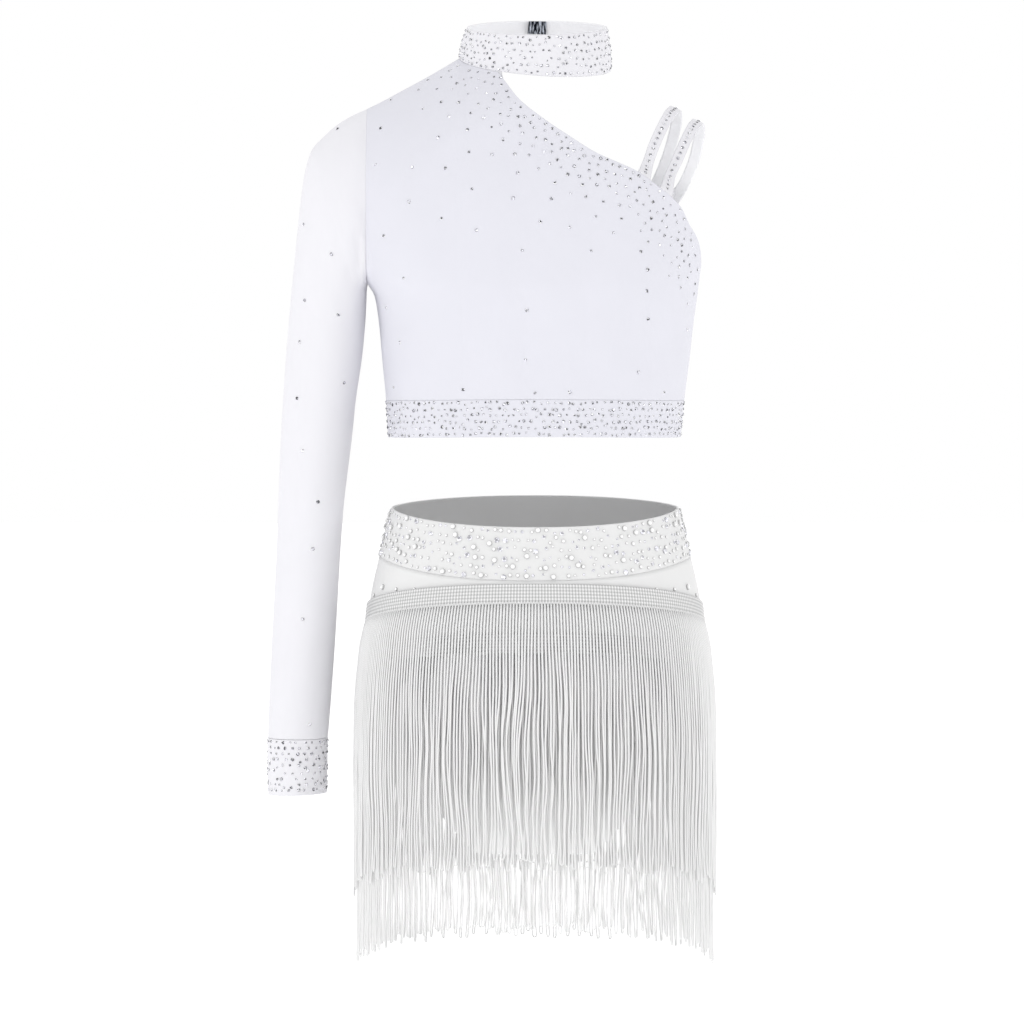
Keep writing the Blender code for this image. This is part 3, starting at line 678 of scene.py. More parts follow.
# The sleeve's knit is the bodice's knit painted lighter, as painted light; the cuff, collar and straps wear
# it too.
lit_knit_painted = knit_paint("lit_knit_painted", (0.78, 0.775, 0.81), 0.7, 0.06, 0.75, 0.12)
sleeve_rows = refine([armhole_section()] + [sleeve_section(row) for row in SLEEVE], SLEEVE_STEPS, SLEEVE_EDGE)
sleeve_cloth = cloth(
    "sleeve_cloth", sleeve_rows, CLOTH, [lit_knit_painted, lining_painted_light], around=True,
    bend=lambda p: out_or_in(p, crease_depth(p)),
    keep=lambda p: Vector((min(p.x, ARMHOLE_X - SEAM), p.y, p.z)),
)
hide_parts("sleeve")

# The bands at the wrist and the hem
# Doubled strips of the same knit, sewn on with a seam that shows as a fine line, and stoned later.
# The hem band runs round the body, and the cuff band round the wrist.

BAND = 1.8
HEM_Z = 55.0
HEM_OVAL = (113, 81)
OVAL_STEPS = 1440
BAND_COLUMNS = 200
BAND_EDGE = 0.03  # a band's close end rows, as a share of its height
HEM_ROWS = 8
CUFF_STEPS = 5
CUFF_EDGE = 0.04
CUFF_ROWS = [
    Sleeve(-206.0, -177.1, -159.7, -177.1, 22.5),
    Sleeve(-206.3, -199.0, -160.1, -198.5, 22.5),
    Sleeve(-206.0, -220.9, -160.5, -219.3, 22.5),
]


def even_angles(count, oval):
    """Angles whose points lie evenly along a rounded section of this half width and half depth."""
    half_width, half_depth = oval
    spots = [2 * math.pi * i / OVAL_STEPS for i in range(OVAL_STEPS + 1)]
    points = [Vector((half_width * bent(math.cos(a)), half_depth * bent(math.sin(a)))) for a in spots]
    travel = [0.0]
    for before, after in zip(points, points[1:]):
        travel.append(travel[-1] + (after - before).length)
    angles = []
    index = 0
    for i in range(count):
        goal = travel[-1] * i / count
        while travel[index + 1] < goal:
            index += 1
        share = (goal - travel[index]) / (travel[index + 1] - travel[index])
        angles.append(spots[index] + share * (spots[1] - spots[0]))
    return angles


def hem_point(angle, share):
    """A point of the hem band, from its lower edge to its seam."""
    high = hem_seam(bent(math.cos(angle)), math.sin(angle) > 0) - SEAM
    height = high + (1 - share) * (HEM_Z - HEM_SEAM_Z)
    half_width = curve(TORSO, "right" if math.cos(angle) > 0 else "left", height)
    half_depth = curve(TORSO, "back" if math.sin(angle) > 0 else "front", height)
    return Vector((half_width * bent(math.cos(angle)), half_depth * bent(math.sin(angle)), height))


hem_rows = [[hem_point(angle, share) for angle in even_angles(BAND_COLUMNS, HEM_OVAL)]
            for share in steps_between(HEM_ROWS, BAND_EDGE)]
hem_cloth = cloth("hem_band_cloth", hem_rows, BAND, [white_knit, lining_painted_light], around=True)
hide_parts("hem_band")

cuff_rows = refine([sleeve_section(row) for row in CUFF_ROWS], CUFF_STEPS, CUFF_EDGE)
# The cuff wears the sleeve's knit, painted lighter than the bodice's as painted light.
cuff_cloth = cloth("cuff_band_cloth", cuff_rows, BAND, [lit_knit_painted, lining_painted_light], around=True)
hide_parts("cuff_band")

# The collar
# A doubled choker band, sewn to the bodice from the right shoulder to the neckline's corner.
# Its two ends meet at the centre back, and its outer face is stoned all round.

COLLAR_BULGE = 1.2
OPENING_X = 2.0
OPENING_GAP = 0.6
COLLAR_COLUMNS = 150
COLLAR_ROWS = 9


def collar_point(angle, share):
    """A point of the collar between its lower and upper edge."""
    low, top = collar_edge(COLLAR_LOW, angle), collar_edge(COLLAR_TOP, angle)
    out = Vector((math.cos(angle), math.sin(angle), 0))
    return low.lerp(top, share) + out * COLLAR_BULGE * 4 * share * (1 - share)


def back_angle(across):
    """The angle round the collar of a place at its back."""
    return math.acos((across - COLLAR_TOP.centre) / COLLAR_TOP.half_width)


collar_start = back_angle(OPENING_X - OPENING_GAP / 2)
collar_turn = 2 * math.pi - (collar_start - back_angle(OPENING_X + OPENING_GAP / 2))
collar_angles = [collar_start + collar_turn * i / COLLAR_COLUMNS for i in range(COLLAR_COLUMNS + 1)]
collar_rows = [[collar_point(angle, share) for angle in collar_angles]
               for share in steps_between(COLLAR_ROWS, BAND_EDGE)]
collar_heart = Vector((0, 0, COLLAR_LOW.height))
# The collar wears the sleeve's knit, painted lighter as painted light.
collar_cloth = cloth("collar_cloth", collar_rows, BAND, [lit_knit_painted, lining_painted_light], heart=collar_heart)
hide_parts("collar")

# The straps
# Two narrow folded straps stand as loops over the bare shoulder, sewn to the front and back necklines.
# They are hollow tubes of knit pressed flat, with rounded edges.

Strap = namedtuple("Strap", "name front_from front_to back_from back_to route")
Place = namedtuple("Place", "x y z")
STRAPS = [
    Strap("strap_inner", 77.7, 87.0, 88.5, 97.3, [
        Place(85.4, -55, 264), Place(90.0, -48, 277), Place(97.2, -35, 292.5), Place(103.8, -18, 303.7),
        Place(108.3, 0, 307.3), Place(109.6, 18, 299.5), Place(106.6, 34, 284), Place(100.8, 47, 265),
    ]),
    Strap("strap_outer", 94.6, 103.8, 101.8, 110.2, [
        Place(102.2, -46, 254), Place(107.6, -41, 266), Place(114.9, -30, 282), Place(121.5, -15, 293.8),
        Place(125.6, 0, 297.4), Place(127.2, 14, 289.5), Place(124.4, 28, 273), Place(116.2, 40, 251),
    ]),
]
STRAP_WIDE = Vector((0.9, 0.0, -0.43)) * 8.6
STRAP_THICK = 1.4
STRAP_GAP = 0.4
STRAP_COLUMNS = 8
STRAP_STEPS = 8
STRAP_EDGE = 0.05
STRAP_HEART = Vector((90, 0, 240))  # a place inside both loops, which their outer faces turn away from


def strap_rows(strap):
    """Lines across the strap's outer face, from the front seat over the shoulder to the back seat."""
    seats = []
    for across_from, across_to, back in (
        (strap.front_from, strap.front_to, False), (strap.back_from, strap.back_to, True),
    ):
        ends = [bodice_point(across / ARMPIT_X, 1.0, back) for across in (across_from, across_to)]
        seats.append([Vector((p.x, p.y, p.z + STRAP_GAP)) for p in ends])
    middle = [[Vector(place) - STRAP_WIDE / 2, Vector(place) + STRAP_WIDE / 2] for place in strap.route]
    fine = refine([seats[0], *middle, seats[1]], STRAP_STEPS, STRAP_EDGE)
    shares = [i / STRAP_COLUMNS for i in range(STRAP_COLUMNS + 1)]
    return [[row[0].lerp(row[1], share) for share in shares] for row in fine]


strap_cloths = []
strap_routes = []
for strap in STRAPS:
    rows = strap_rows(strap)
    # The straps wear the sleeve's knit, painted lighter as painted light.
    piece = cloth(strap.name + "_cloth", rows, STRAP_THICK, [lit_knit_painted, lining_painted_light], heart=STRAP_HEART)
    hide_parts(strap.name)
    route = [row[STRAP_COLUMNS // 2] for row in rows]
    strap_length = sum((after - before).length for before, after in zip(route, route[1:])) * MM
    strap_cloths.append(piece)
    strap_routes.append(route)

# The waistband
# A wide doubled band of grey-white knit, cut lower at the front, its inner face painted darker as painted
# shade inside the waist.
# Its lower seam curves down at the centre and shows as a fine line.

HIP_HANG_Z = -175.0
WAIST_OVAL = (114, 86)
Hips = namedtuple("Hips", "height side front back")
HIPS = [
    Hips(10, 107.5, 80, 79),
    Hips(0, 110.6, 82, 82),
    Hips(-12, 114.2, 84, 86),
    Hips(-36, 119.6, 89, 92),
    Hips(-51, 123.2, 92, 96),
    Hips(-66, 126.3, 95, 100),
    Hips(-84, 128.5, 98, 104),
    Hips(-112, 131.1, 101, 109),
    Hips(-139, 133.0, 103, 112),
    Hips(-175, 134.0, 103, 113),
    Hips(-209, 132.0, 97, 106),
    Hips(-240, 124.0, 74, 82),
    Hips(-262, 112.0, 38, 42),
]
Line = namedtuple("Line", "side front back power")
WAIST_TOP = Line(0.9, -10.7, 6.8, 1.7)
WAIST_SEAM = Line(-36.2, -51.0, -40.0, 1.9)
WAIST_ROWS = 10


def line_height(line, angle):
    """Height of one of the skirt's lines at an angle round the body."""
    share = abs(bent(math.sin(angle))) ** line.power
    end = line.back if math.sin(angle) > 0 else line.front
    return line.side + (end - line.side) * share


def hip_point(angle, height, off=0.0):
    """A point on the hips at an angle and a height, moved off the body."""
    level = max(height, HIP_HANG_Z)
    half_width = curve(HIPS, "side", level) + off
    half_depth = curve(HIPS, "back" if math.sin(angle) > 0 else "front", level) + off
    return Vector((half_width * bent(math.cos(angle)), half_depth * bent(math.sin(angle)), height))


def waist_point(angle, share):
    """A point of the waistband, from its seam to its upper edge."""
    low, high = line_height(WAIST_SEAM, angle), line_height(WAIST_TOP, angle)
    return hip_point(angle, low + share * (high - low))


skirt_knit = knit_paint("skirt_knit", (0.76, 0.76, 0.76), 0.8, 0.06, 0.7, 0.1)
waist_knit = knit_paint("waist_knit", (0.76, 0.76, 0.76), 0.8, 0.06, 0.7, 0.1)
# The waistband's inner face is painted a darker grey: painted shade inside the hollow of the waist.
waist_inside_painted_shade = knit_paint("waist_inside_painted_shade", (0.66, 0.66, 0.66), 0.9, 0.04, 0.85, 0.0)

waist_rows = [[waist_point(angle, share) for angle in even_angles(BAND_COLUMNS, WAIST_OVAL)]
              for share in steps_between(WAIST_ROWS, BAND_EDGE)]
waist_cloth = cloth("waistband_cloth", waist_rows, BAND, [waist_knit, waist_inside_painted_shade], around=True)
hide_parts("waistband")

# The skirt's base
# A close-fitting brief of plain knit behind the fringe, in a front and a back panel and a gusset.
# The fringe is sewn on it, and the leg openings run up to the sides.

BRIEF_STEPS = 7  # rows between two of the base's levels
BRIEF_COLUMNS = 80
Brief = namedtuple("Brief", "height edge")
BRIEF = [
    Brief(-36, 130), Brief(-175, 134), Brief(-190, 117), Brief(-205, 97.5), Brief(-222, 78),
    Brief(-240, 64), Brief(-262, 46),
]
BRIEF_LEVELS = [-36, -62, -95, -130, -160, -178, -192, -207, -223, -241, -262]
SEAT_Z = -262.0
GUSSET_SAG = 5.0
GUSSET_WAIST = 9.0  # how much narrower the gusset is halfway
GUSSET_ROWS = 28
GUSSET_COLUMNS = 30
SEAT_RUN = 4.0  # how far above its seam the base's direction is taken


def brief_point(share, level, back):
    """A point of the skirt's base, on one of its levels between the waist seam and the gusset seam."""
    angle = math.asin(max(-1.0, min(1.0, bulge(share) ** (ROUNDNESS / 2))))
    seam = line_height(WAIST_SEAM, angle if back else -angle) - SEAM
    fade = (level - SEAT_Z) / (BRIEF_LEVELS[0] - SEAT_Z)
    height = level + (seam - BRIEF_LEVELS[0]) * fade ** 3
    half_width = curve(HIPS, "side", height)
    across = share * min(half_width, curve(BRIEF, "edge", height))
    deep = curve(HIPS, "back" if back else "front", height) * bulge(across / half_width) + HALF_SEAM
    return Vector((across, deep if back else -deep, height))


def brief_keeper(back):
    """Keeps a panel's inner face on its own side of the side seams."""
    def keep(point):
        return Vector((point.x, max(point.y, HALF_SEAM) if back else min(point.y, -HALF_SEAM), point.z))
    return keep


def fine_levels():
    """The base's levels with even ones between them."""
    levels = [BRIEF_LEVELS[0]]
    for before, after in zip(BRIEF_LEVELS, BRIEF_LEVELS[1:]):
        levels += [before + (after - before) * i / BRIEF_STEPS for i in range(1, BRIEF_STEPS + 1)]
    return levels


brief_cloths = []
for back, node in ((False, "skirt_front"), (True, "skirt_back")):
    shares = side_shares(BRIEF_COLUMNS)
    rows = [[brief_point(share, level, back) for share in shares] for level in fine_levels()]
    piece = cloth(node + "_cloth", rows, CLOTH, [skirt_knit], keep=brief_keeper(back),
                  heart=Vector((0, 0, HIP_HANG_Z)))
    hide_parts(node)
    brief_cloths.append(piece)


def seat_direction(back):
    """The way in which the base runs into the gusset seam, and the outward direction there."""
    above, low = (brief_point(0, level, back) for level in (SEAT_Z + SEAT_RUN, SEAT_Z))
    run = (low - above).normalized()
    out = run.cross(Vector((1, 0, 0)))
    return run, out if out.z < 0 else -out


def gusset_cloth_rows(rows_count, columns):
    """The gusset's outer face and its outward directions, from the front seam to the back seam."""
    (front_run, front_out), (back_run, back_out) = seat_direction(False), seat_direction(True)
    rows, lines = [], []
    for r in range(rows_count + 1):
        t = r / rows_count
        dip = math.sin(math.pi * t)
        row = []
        for share in side_shares(columns):
            front = brief_point(share, SEAT_Z, False) + front_run * SEAM
            rear = brief_point(share, SEAT_Z, True) + back_run * SEAM
            point = front.lerp(rear, t)
            point.x *= 1 - dip * GUSSET_WAIST / curve(BRIEF, "edge", SEAT_Z)
            point.z -= dip * GUSSET_SAG
            row.append(point)
        rows.append(row)
        lines.append([front_out.lerp(back_out, t).normalized()] * len(row))
    return rows, lines


gusset_rows, gusset_lines = gusset_cloth_rows(GUSSET_ROWS, GUSSET_COLUMNS)
gusset_cloth = cloth("gusset_cloth", gusset_rows, CLOTH, [skirt_knit], lines=gusset_lines)
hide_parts("gusset")

# The braided headings of the fringe
# Each tier of fringe hangs from a braid about 15 mm wide, sewn round the base with its ribs across.
# Upright cords cross flat threads, so the braid has a small grid of bumps, and its grooves are painted dark
# as painted shade.

UPPER_TAPE = Line(-74.0, -53.0, -66.0, 1.0)
UPPER_ENDS = Line(-296.8, -264.5, -290.0, 1.0)
LOWER_TAPE = Line(-113.0, -90.0, -105.0, 1.0)
LOWER_ENDS = Line(-349.6, -313.0, -343.0, 1.3)
TAPE_HEIGHT = 15.0
TAPE_THICK = 1.8
TAPE_RIBS = 6
RIB_ROWS = 4
RIB_DEPTH = 0.7
CORD_LOW = 0.7  # an upright cord's height where a flat thread binds it; it is 1 between them
GROOVE_LOW = 0.15
GROOVE_RISE = 0.45  # how much of the way up the flat threads stand in a groove
HIP_OVAL = (134, 106)
LOOPS = 158  # loops of yarn round each tier
Lift = namedtuple("Lift", "below off")
UPPER_LIFT = [Lift(0, 2.3), Lift(18, 5.0), Lift(33, 5.4), Lift(60, 6.0), Lift(90, 6.3), Lift(240, 6.3)]
LOWER_LIFT = [Lift(0, 2.3), Lift(30, 3.2), Lift(60, 3.7), Lift(190, 3.8), Lift(240, 4.8)]


def yarn_paint(name, colour, twist_mm, roughness):
    """Satin cord: slanting plies as bump and a little shade between them, on the cord's own UV map."""
    paint = bpy.data.materials.new(name)
    paint.use_nodes = True
    nodes, links = paint.node_tree.nodes, paint.node_tree.links
    shader = nodes["Principled BSDF"]
    shader.inputs["Roughness"].default_value = roughness
    shader.inputs["Sheen Weight"].default_value = 0.15
    shader.inputs["Specular IOR Level"].default_value = 0.4
    place = nodes.new("ShaderNodeUVMap")
    place.uv_map = "cloth_metres"
    plies = nodes.new("ShaderNodeTexWave")
    plies.wave_type = "BANDS"
    plies.bands_direction = "DIAGONAL"
    plies.inputs["Scale"].default_value = 2 * math.pi / (10 * twist_mm * MM)
    plies.inputs["Distortion"].default_value = 0.2
    tone = nodes.new("ShaderNodeMix")
    tone.data_type = "RGBA"
    tone.inputs["A"].default_value = (*[c * 0.88 for c in colour], 1)
    tone.inputs["B"].default_value = (*colour, 1)
    bump = nodes.new("ShaderNodeBump")
    bump.inputs["Strength"].default_value = 0.5
    bump.inputs["Distance"].default_value = 0.2 * MM
    links.new(place.outputs["UV"], plies.inputs["Vector"])
    links.new(plies.outputs["Fac"], tone.inputs["Factor"])
    links.new(tone.outputs["Result"], shader.inputs["Base Color"])
    links.new(plies.outputs["Fac"], bump.inputs["Height"])
    links.new(bump.outputs["Normal"], shader.inputs["Normal"])
    return paint


fringe_yarn = yarn_paint("fringe_yarn", (0.87, 0.87, 0.87), 1.8, 0.5)

braid_yarn_groove_shade = bpy.data.materials.new("braid_yarn_groove_shade")
braid_yarn_groove_shade.use_nodes = True
braid_shader = braid_yarn_groove_shade.node_tree.nodes["Principled BSDF"]
braid_shader.inputs["Roughness"].default_value = 0.6
braid_shader.inputs["Specular IOR Level"].default_value = 0.3
# The braid's grooves are painted dark grey and its cords pale: painted shade in its recesses.
braid_shade_layer = braid_yarn_groove_shade.node_tree.nodes.new("ShaderNodeVertexColor")
braid_shade_layer.layer_name = "groove_shade_paint"
braid_shade_tone = braid_yarn_groove_shade.node_tree.nodes.new("ShaderNodeMix")
braid_shade_tone.data_type = "RGBA"
braid_shade_tone.inputs["A"].default_value = (0.34, 0.34, 0.34, 1)
braid_shade_tone.inputs["B"].default_value = (0.90, 0.90, 0.90, 1)
braid_yarn_groove_shade.node_tree.links.new(braid_shade_layer.outputs["Color"], braid_shade_tone.inputs["Factor"])
braid_yarn_groove_shade.node_tree.links.new(braid_shade_tone.outputs["Result"], braid_shader.inputs["Base Color"])


def braid_height(row, column):
    """How raised the braid is at a point of its grid, from 0 in a groove to 1 on a cord; the same value also
    paints the grooves dark as painted shade.
    """
    rib = abs(math.sin(math.pi * row / RIB_ROWS))
    if column % 2:
        return CORD_LOW + (1 - CORD_LOW) * rib
    bare_edge = row > (TAPE_RIBS - 1) * RIB_ROWS
    return 0.0 if bare_edge else GROOVE_LOW + GROOVE_RISE * rib


def braid(name, tape, off):
    """One braided heading round the hips."""
    angles = even_angles(4 * LOOPS, HIP_OVAL)
    rows = []
    for r in range(TAPE_RIBS * RIB_ROWS + 1):
        fall = TAPE_HEIGHT * r / (TAPE_RIBS * RIB_ROWS)
        row = []
        for c, angle in enumerate(angles):
            stands = off - RIB_DEPTH * (1 - braid_height(r, c))
            row.append(hip_point(angle, line_height(tape, angle) - fall, stands))
        rows.append(row)
    piece = cloth(name, rows, TAPE_THICK - RIB_DEPTH, [braid_yarn_groove_shade], around=True, painted_groove_shade=braid_height)
    return piece


upper_braid = braid("fringe_upper_braid", UPPER_TAPE, UPPER_LIFT[0].off)
lower_braid = braid("fringe_lower_braid", LOWER_TAPE, LOWER_LIFT[0].off)

# The looped fringe
# Each tier is a long run of twisted yarn laid in narrow loops, whose two legs hang side by side.
# The legs wander a little, lean together at the looped end, and end at slightly uneven heights.

YARN_RADIUS = 0.80
YARN_END = 0.60  # the yarn's radius at the looped end, where it hangs looser
YARN_SIDES = 6
LEG_STEPS = 22
TURN_STEPS = 4
LEG_GAP = 0.75  # half the space between a loop's legs at its end
END_UNEVEN = 7.0
CLUMP = 1.7  # how far neighbours sway together
CLUMP_WAVE = 70.0
CLUMP_PITCH = 0.21  # how fast the sway changes from loop to loop
WANDER = 0.4  # how far a leg sways by itself
WANDER_WAVE = 32.0
OWN_PITCH = 7.3
DEPTH_SWAY = 1.1  # how far a leg sways in and out
DEPTH_WAVE = 55.0
DEPTH_PITCH = 3.1
DEPTH_LIMIT = 0.5
FREE_BELOW = 1.6  # the sway is whole at one over this share of the leg
BOW = 1.3  # how far a loop's legs may stand apart above its end
YARN_CLEAR = 0.15  # between the yarn and the solid's outer face
HEADING_LAP = 1.5  # how far a leg runs up behind the braid's lower edge
TURN_SAG = 1.5  # how much deeper than round a loop's end hangs


def leg_place(angle, height, start, end, tier, number, lean, bow, off):
    """A place on a hanging leg: its angle, moved by slow waves that neighbours share and by its own."""
    below = start - height
    share = below / (start - end)
    free = ease(share * FREE_BELOW)
    shared = noise.noise(Vector((number * CLUMP_PITCH, height / CLUMP_WAVE, tier))) * CLUMP * 2
    own = noise.noise(Vector((number * OWN_PITCH, height / WANDER_WAVE, tier + 9.0))) * WANDER * 2
    shift = (shared + own) * free + lean * share ** 3 + bow * math.sin(math.pi * share ** 2.5)
    deep = noise.noise(Vector((number * DEPTH_PITCH, height / DEPTH_WAVE, tier + 4.0))) * DEPTH_SWAY * free
    turn = shift * (1.0 / hip_point(angle, height).xy.length)
    return hip_point(angle + turn, height, off - YARN_RADIUS - YARN_CLEAR + min(deep, DEPTH_LIMIT))


def loop_path(first, second, number, tape, ends, lifts, tier, chance):
    """The middle line of one loop: down a leg, round its end and up the other leg."""
    angle = (first + second) / 2
    start = line_height(tape, angle) - TAPE_HEIGHT + HEADING_LAP
    end = line_height(ends, angle) + chance.uniform(-0.4, 1.0) * END_UNEVEN
    bow = chance.uniform(-0.3, 1.0) * BOW
    legs = []
    half_pitch = abs(second - first) * hip_point(angle, start).xy.length / 2
    for side, leg_angle in ((1, first), (-1, second)):
        lean = side * (half_pitch - LEG_GAP)
        leg = []
        for i in range(LEG_STEPS + 1):
            height = start + (end - start) * i / LEG_STEPS
            off = curve(lifts, "off", start - height)
            leg.append(leg_place(leg_angle, height, start, end, tier, number, lean, -side * bow, off))
        legs.append(leg)
    down, up = legs[0], list(reversed(legs[1]))
    middle, half = (down[-1] + up[0]) / 2, (up[0] - down[-1]) / 2
    turn = []
    for i in range(1, TURN_STEPS):
        bend = math.pi * i / TURN_STEPS
        turn.append(middle - half * math.cos(bend) + Vector((0, 0, -half.length * TURN_SAG * math.sin(bend))))
    return down + turn + up, hip_point(angle, start).xy.normalized()


def cord_rings(bm, path, outward):
    """Rings of vertices round a path, slimmer towards its middle, where the loop hangs loose."""
    out = Vector((outward.x, outward.y, 0))
    turns = [2 * math.pi * k / YARN_SIDES for k in range(YARN_SIDES)]
    rings = []
    for i, point in enumerate(path):
        loose = 1 - abs(2 * i / (len(path) - 1) - 1)
        radius = YARN_RADIUS + (YARN_END - YARN_RADIUS) * loose ** 2
        run = (path[min(i + 1, len(path) - 1)] - path[max(i - 1, 0)]).normalized()
        side = run.cross(out).normalized()
        face = side.cross(run)
        spots = [point + (side * math.cos(a) + face * math.sin(a)) * radius for a in turns]
        rings.append([bm.verts.new(spot * MM) for spot in spots])
    return rings


def add_cord(bm, layer, path, outward, phase):
    """A round cord along a path, closed at both ends; phase is where its twist starts."""
    rings = cord_rings(bm, path, outward)
    travel = phase
    around = 2 * math.pi * YARN_RADIUS / YARN_SIDES * MM
    for i in range(len(path) - 1):
        step = (path[i + 1] - path[i]).length * MM
        for k in range(YARN_SIDES):
            j = (k + 1) % YARN_SIDES
            face = bm.faces.new((rings[i][k], rings[i][j], rings[i + 1][j], rings[i + 1][k]))
            face.smooth = True
            spots = ((k, travel), (k + 1, travel), (k + 1, travel + step), (k, travel + step))
            for corner, (column, along) in zip(face.loops, spots):
                corner[layer].uv = (column * around, along)
        travel += step
    bm.faces.new(rings[0])
    bm.faces.new(rings[-1])


def fringe(name, node, tape, ends, lifts, tier):
    """One tier of looped fringe."""
    chance = random.Random(tier)
    angles = even_angles(2 * LOOPS, HIP_OVAL)
    bm = bmesh.new()
    layer = bm.loops.layers.uv.new("cloth_metres")
    for number in range(LOOPS):
        first, second = angles[2 * number], angles[2 * number + 1]
        path, outward = loop_path(first, second, number, tape, ends, lifts, tier, chance)
        add_cord(bm, layer, path, outward, chance.random())
    bmesh.ops.recalc_face_normals(bm, faces=bm.faces)
    piece = finished_piece(name, bm, [fringe_yarn])
    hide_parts(node)
    return piece


upper_loops = fringe("fringe_upper_loops", "fringe_upper", UPPER_TAPE, UPPER_ENDS, UPPER_LIFT, 1)
lower_loops = fringe("fringe_lower_loops", "fringe_lower", LOWER_TAPE, LOWER_ENDS, LOWER_LIFT, 2)

# The stones
# Round flat-backed glass stones with a foil behind them, glued on one by one, closest on the bands.
# Each has a flat table, a ring of slanting facets and a low girdle, and sits a little askew. Each facet is
# painted dark or bright as a painted reflection.

STONE_SIDES = 8
STONE_LEAN = 0.09  # how far askew a stone sits
# Foot, girdle and table: the share of the half width, the height against the width, and the turn in facets
STONE_RINGS = ((0.94, -0.04, 0.0), (1.0, 0.08, 0.0), (0.52, 0.3, 0.5))
FACET_PAINTED_REFLECTIONS = (0.07, 0.22, 0.5, 0.8, 0.95, 1.0, 1.0)  # painted reflection: the foil seen through a facet, painted dark or bright
TABLE_PAINTED_REFLECTIONS = (0.35, 0.6, 0.85, 0.95)
CLEAR_PAINTED_REFLECTIONS = (0.65, 0.78, 0.88, 0.94, 1.0, 1.0)  # painted reflections for paler stones, with little foil behind them
GIRDLE_PAINTED_REFLECTION = 0.5
COOL = 1.04  # how much more blue a facet shows


def glass_paint(name, foil, roughness):
    """Glass or glaze with this much mirror foil behind it; each face's colour layer holds its painted light
    and shade, painted reflections on the stones and painted shade on the pearls.
    """
    paint = bpy.data.materials.new(name)
    paint.use_nodes = True
    shader = paint.node_tree.nodes["Principled BSDF"]
    shader.inputs["Metallic"].default_value = foil
    shader.inputs["Roughness"].default_value = roughness
    shader.inputs["Coat Weight"].default_value = 0.5
    shader.inputs["Coat Roughness"].default_value = 0.02
    painted_light_node = paint.node_tree.nodes.new("ShaderNodeVertexColor")
    painted_light_node.layer_name = "facet"
    paint.node_tree.links.new(painted_light_node.outputs["Color"], shader.inputs["Base Color"])
    return paint


stone_glass = glass_paint("stone_glass", 0.55, 0.12)
clear_glass = glass_paint("clear_glass", 0.2, 0.12)


def tree_of(piece):
    """A finished piece's faces, ready for finding the nearest place on it."""
    mesh = piece.data
    return BVHTree.FromPolygons([v.co for v in mesh.vertices], [tuple(f.vertices) for f in mesh.polygons])


def add_stone(bm, facet, place, normal, across, chance, tones):
    """One faceted stone, standing on a cloth."""
    radius = across / 2
    lean = Vector([chance.gauss(0, STONE_LEAN) for _ in range(3)])
    up = (normal + lean).normalized()
    side = up.orthogonal().normalized()
    side.rotate(Matrix.Rotation(chance.uniform(0, math.pi), 3, up))
    front = up.cross(side)
    rings = []
    for share, high, turn in STONE_RINGS:
        ring = []
        for k in range(STONE_SIDES):
            a = 2 * math.pi * (k + turn) / STONE_SIDES
            arm = (side * math.cos(a) + front * math.sin(a)) * radius * share
            ring.append(bm.verts.new((place / MM + arm + up * high * across) * MM))
        rings.append(ring)
    low, girdle, table = rings
    faces = []
    for k in range(STONE_SIDES):
        j = (k + 1) % STONE_SIDES
        # Each face gets a tone drawn at random from its list: a painted reflection, dark or bright.
        faces.append((bm.faces.new((low[k], low[j], girdle[j], girdle[k])), GIRDLE_PAINTED_REFLECTION))
        faces.append((bm.faces.new((girdle[k], girdle[j], table[k])), chance.choice(tones)))
        faces.append((bm.faces.new((girdle[j], table[j], table[k])), chance.choice(tones)))
    faces.append((bm.faces.new(table), max(chance.choice(TABLE_PAINTED_REFLECTIONS), min(tones))))
    faces.append((bm.faces.new(list(reversed(low))), GIRDLE_PAINTED_REFLECTION))
    for face, tone in faces:
        for corner in face.loops:
            corner[facet] = (tone, tone, min(1.0, tone * COOL), 1)


def set_stones(name, carrier, spots, seed, clear=False):
    """A joined mesh of stones at (place in millimetres, width) spots, each standing on the carrier cloth."""
    tones = CLEAR_PAINTED_REFLECTIONS if clear else FACET_PAINTED_REFLECTIONS
    chance = random.Random(seed)
    tree = tree_of(carrier)
    bm = bmesh.new()
    facet = bm.loops.layers.color.new("facet")
    for place, across in spots:
        found, normal, _, _ = tree.find_nearest(place * MM)
        add_stone(bm, facet, found, normal, across, chance, tones)
    piece = finished_piece(name, bm, [clear_glass if clear else stone_glass])
    return piece


# Stones on the bands
# The hem band, the collar and the cuff are covered with staggered rows of mixed sizes, set by hand.
# The rows are a little uneven and miss a stone here and there, and each strap has one row up its front.

StoneBand = namedtuple("StoneBand", "length height pitch rows sizes")
HEM_BAND = StoneBand(625, 26, 4.8, 6, (1.7, 2.0, 2.4, 2.7))
COLLAR_BAND = StoneBand(345, 27, 5.0, 6, (1.6, 1.8, 2.2, 2.4))
CUFF_BAND = StoneBand(113, 42, 4.7, 9, (1.8, 2.0, 2.4, 2.8))
MISSED = 0.05  # share of the places that are left bare
UNEVEN = 0.16  # how far a stone sits off its place, against the rows' spacing
INSET = 0.06  # share of a band's height left bare along each edge
ROUND_PLACES = 720  # places round a band that a stone can stand at
CUFF_PLACES = 144
CUFF_LEVELS = 20  # places up the cuff
COLLAR_END = 0.008  # share of the collar's length left bare at each end
STRAP_PITCH = 4.2
STRAP_STONE = 2.6
STRAP_STONES_TO_Y = 4.0  # the row of stones ends just over the shoulder


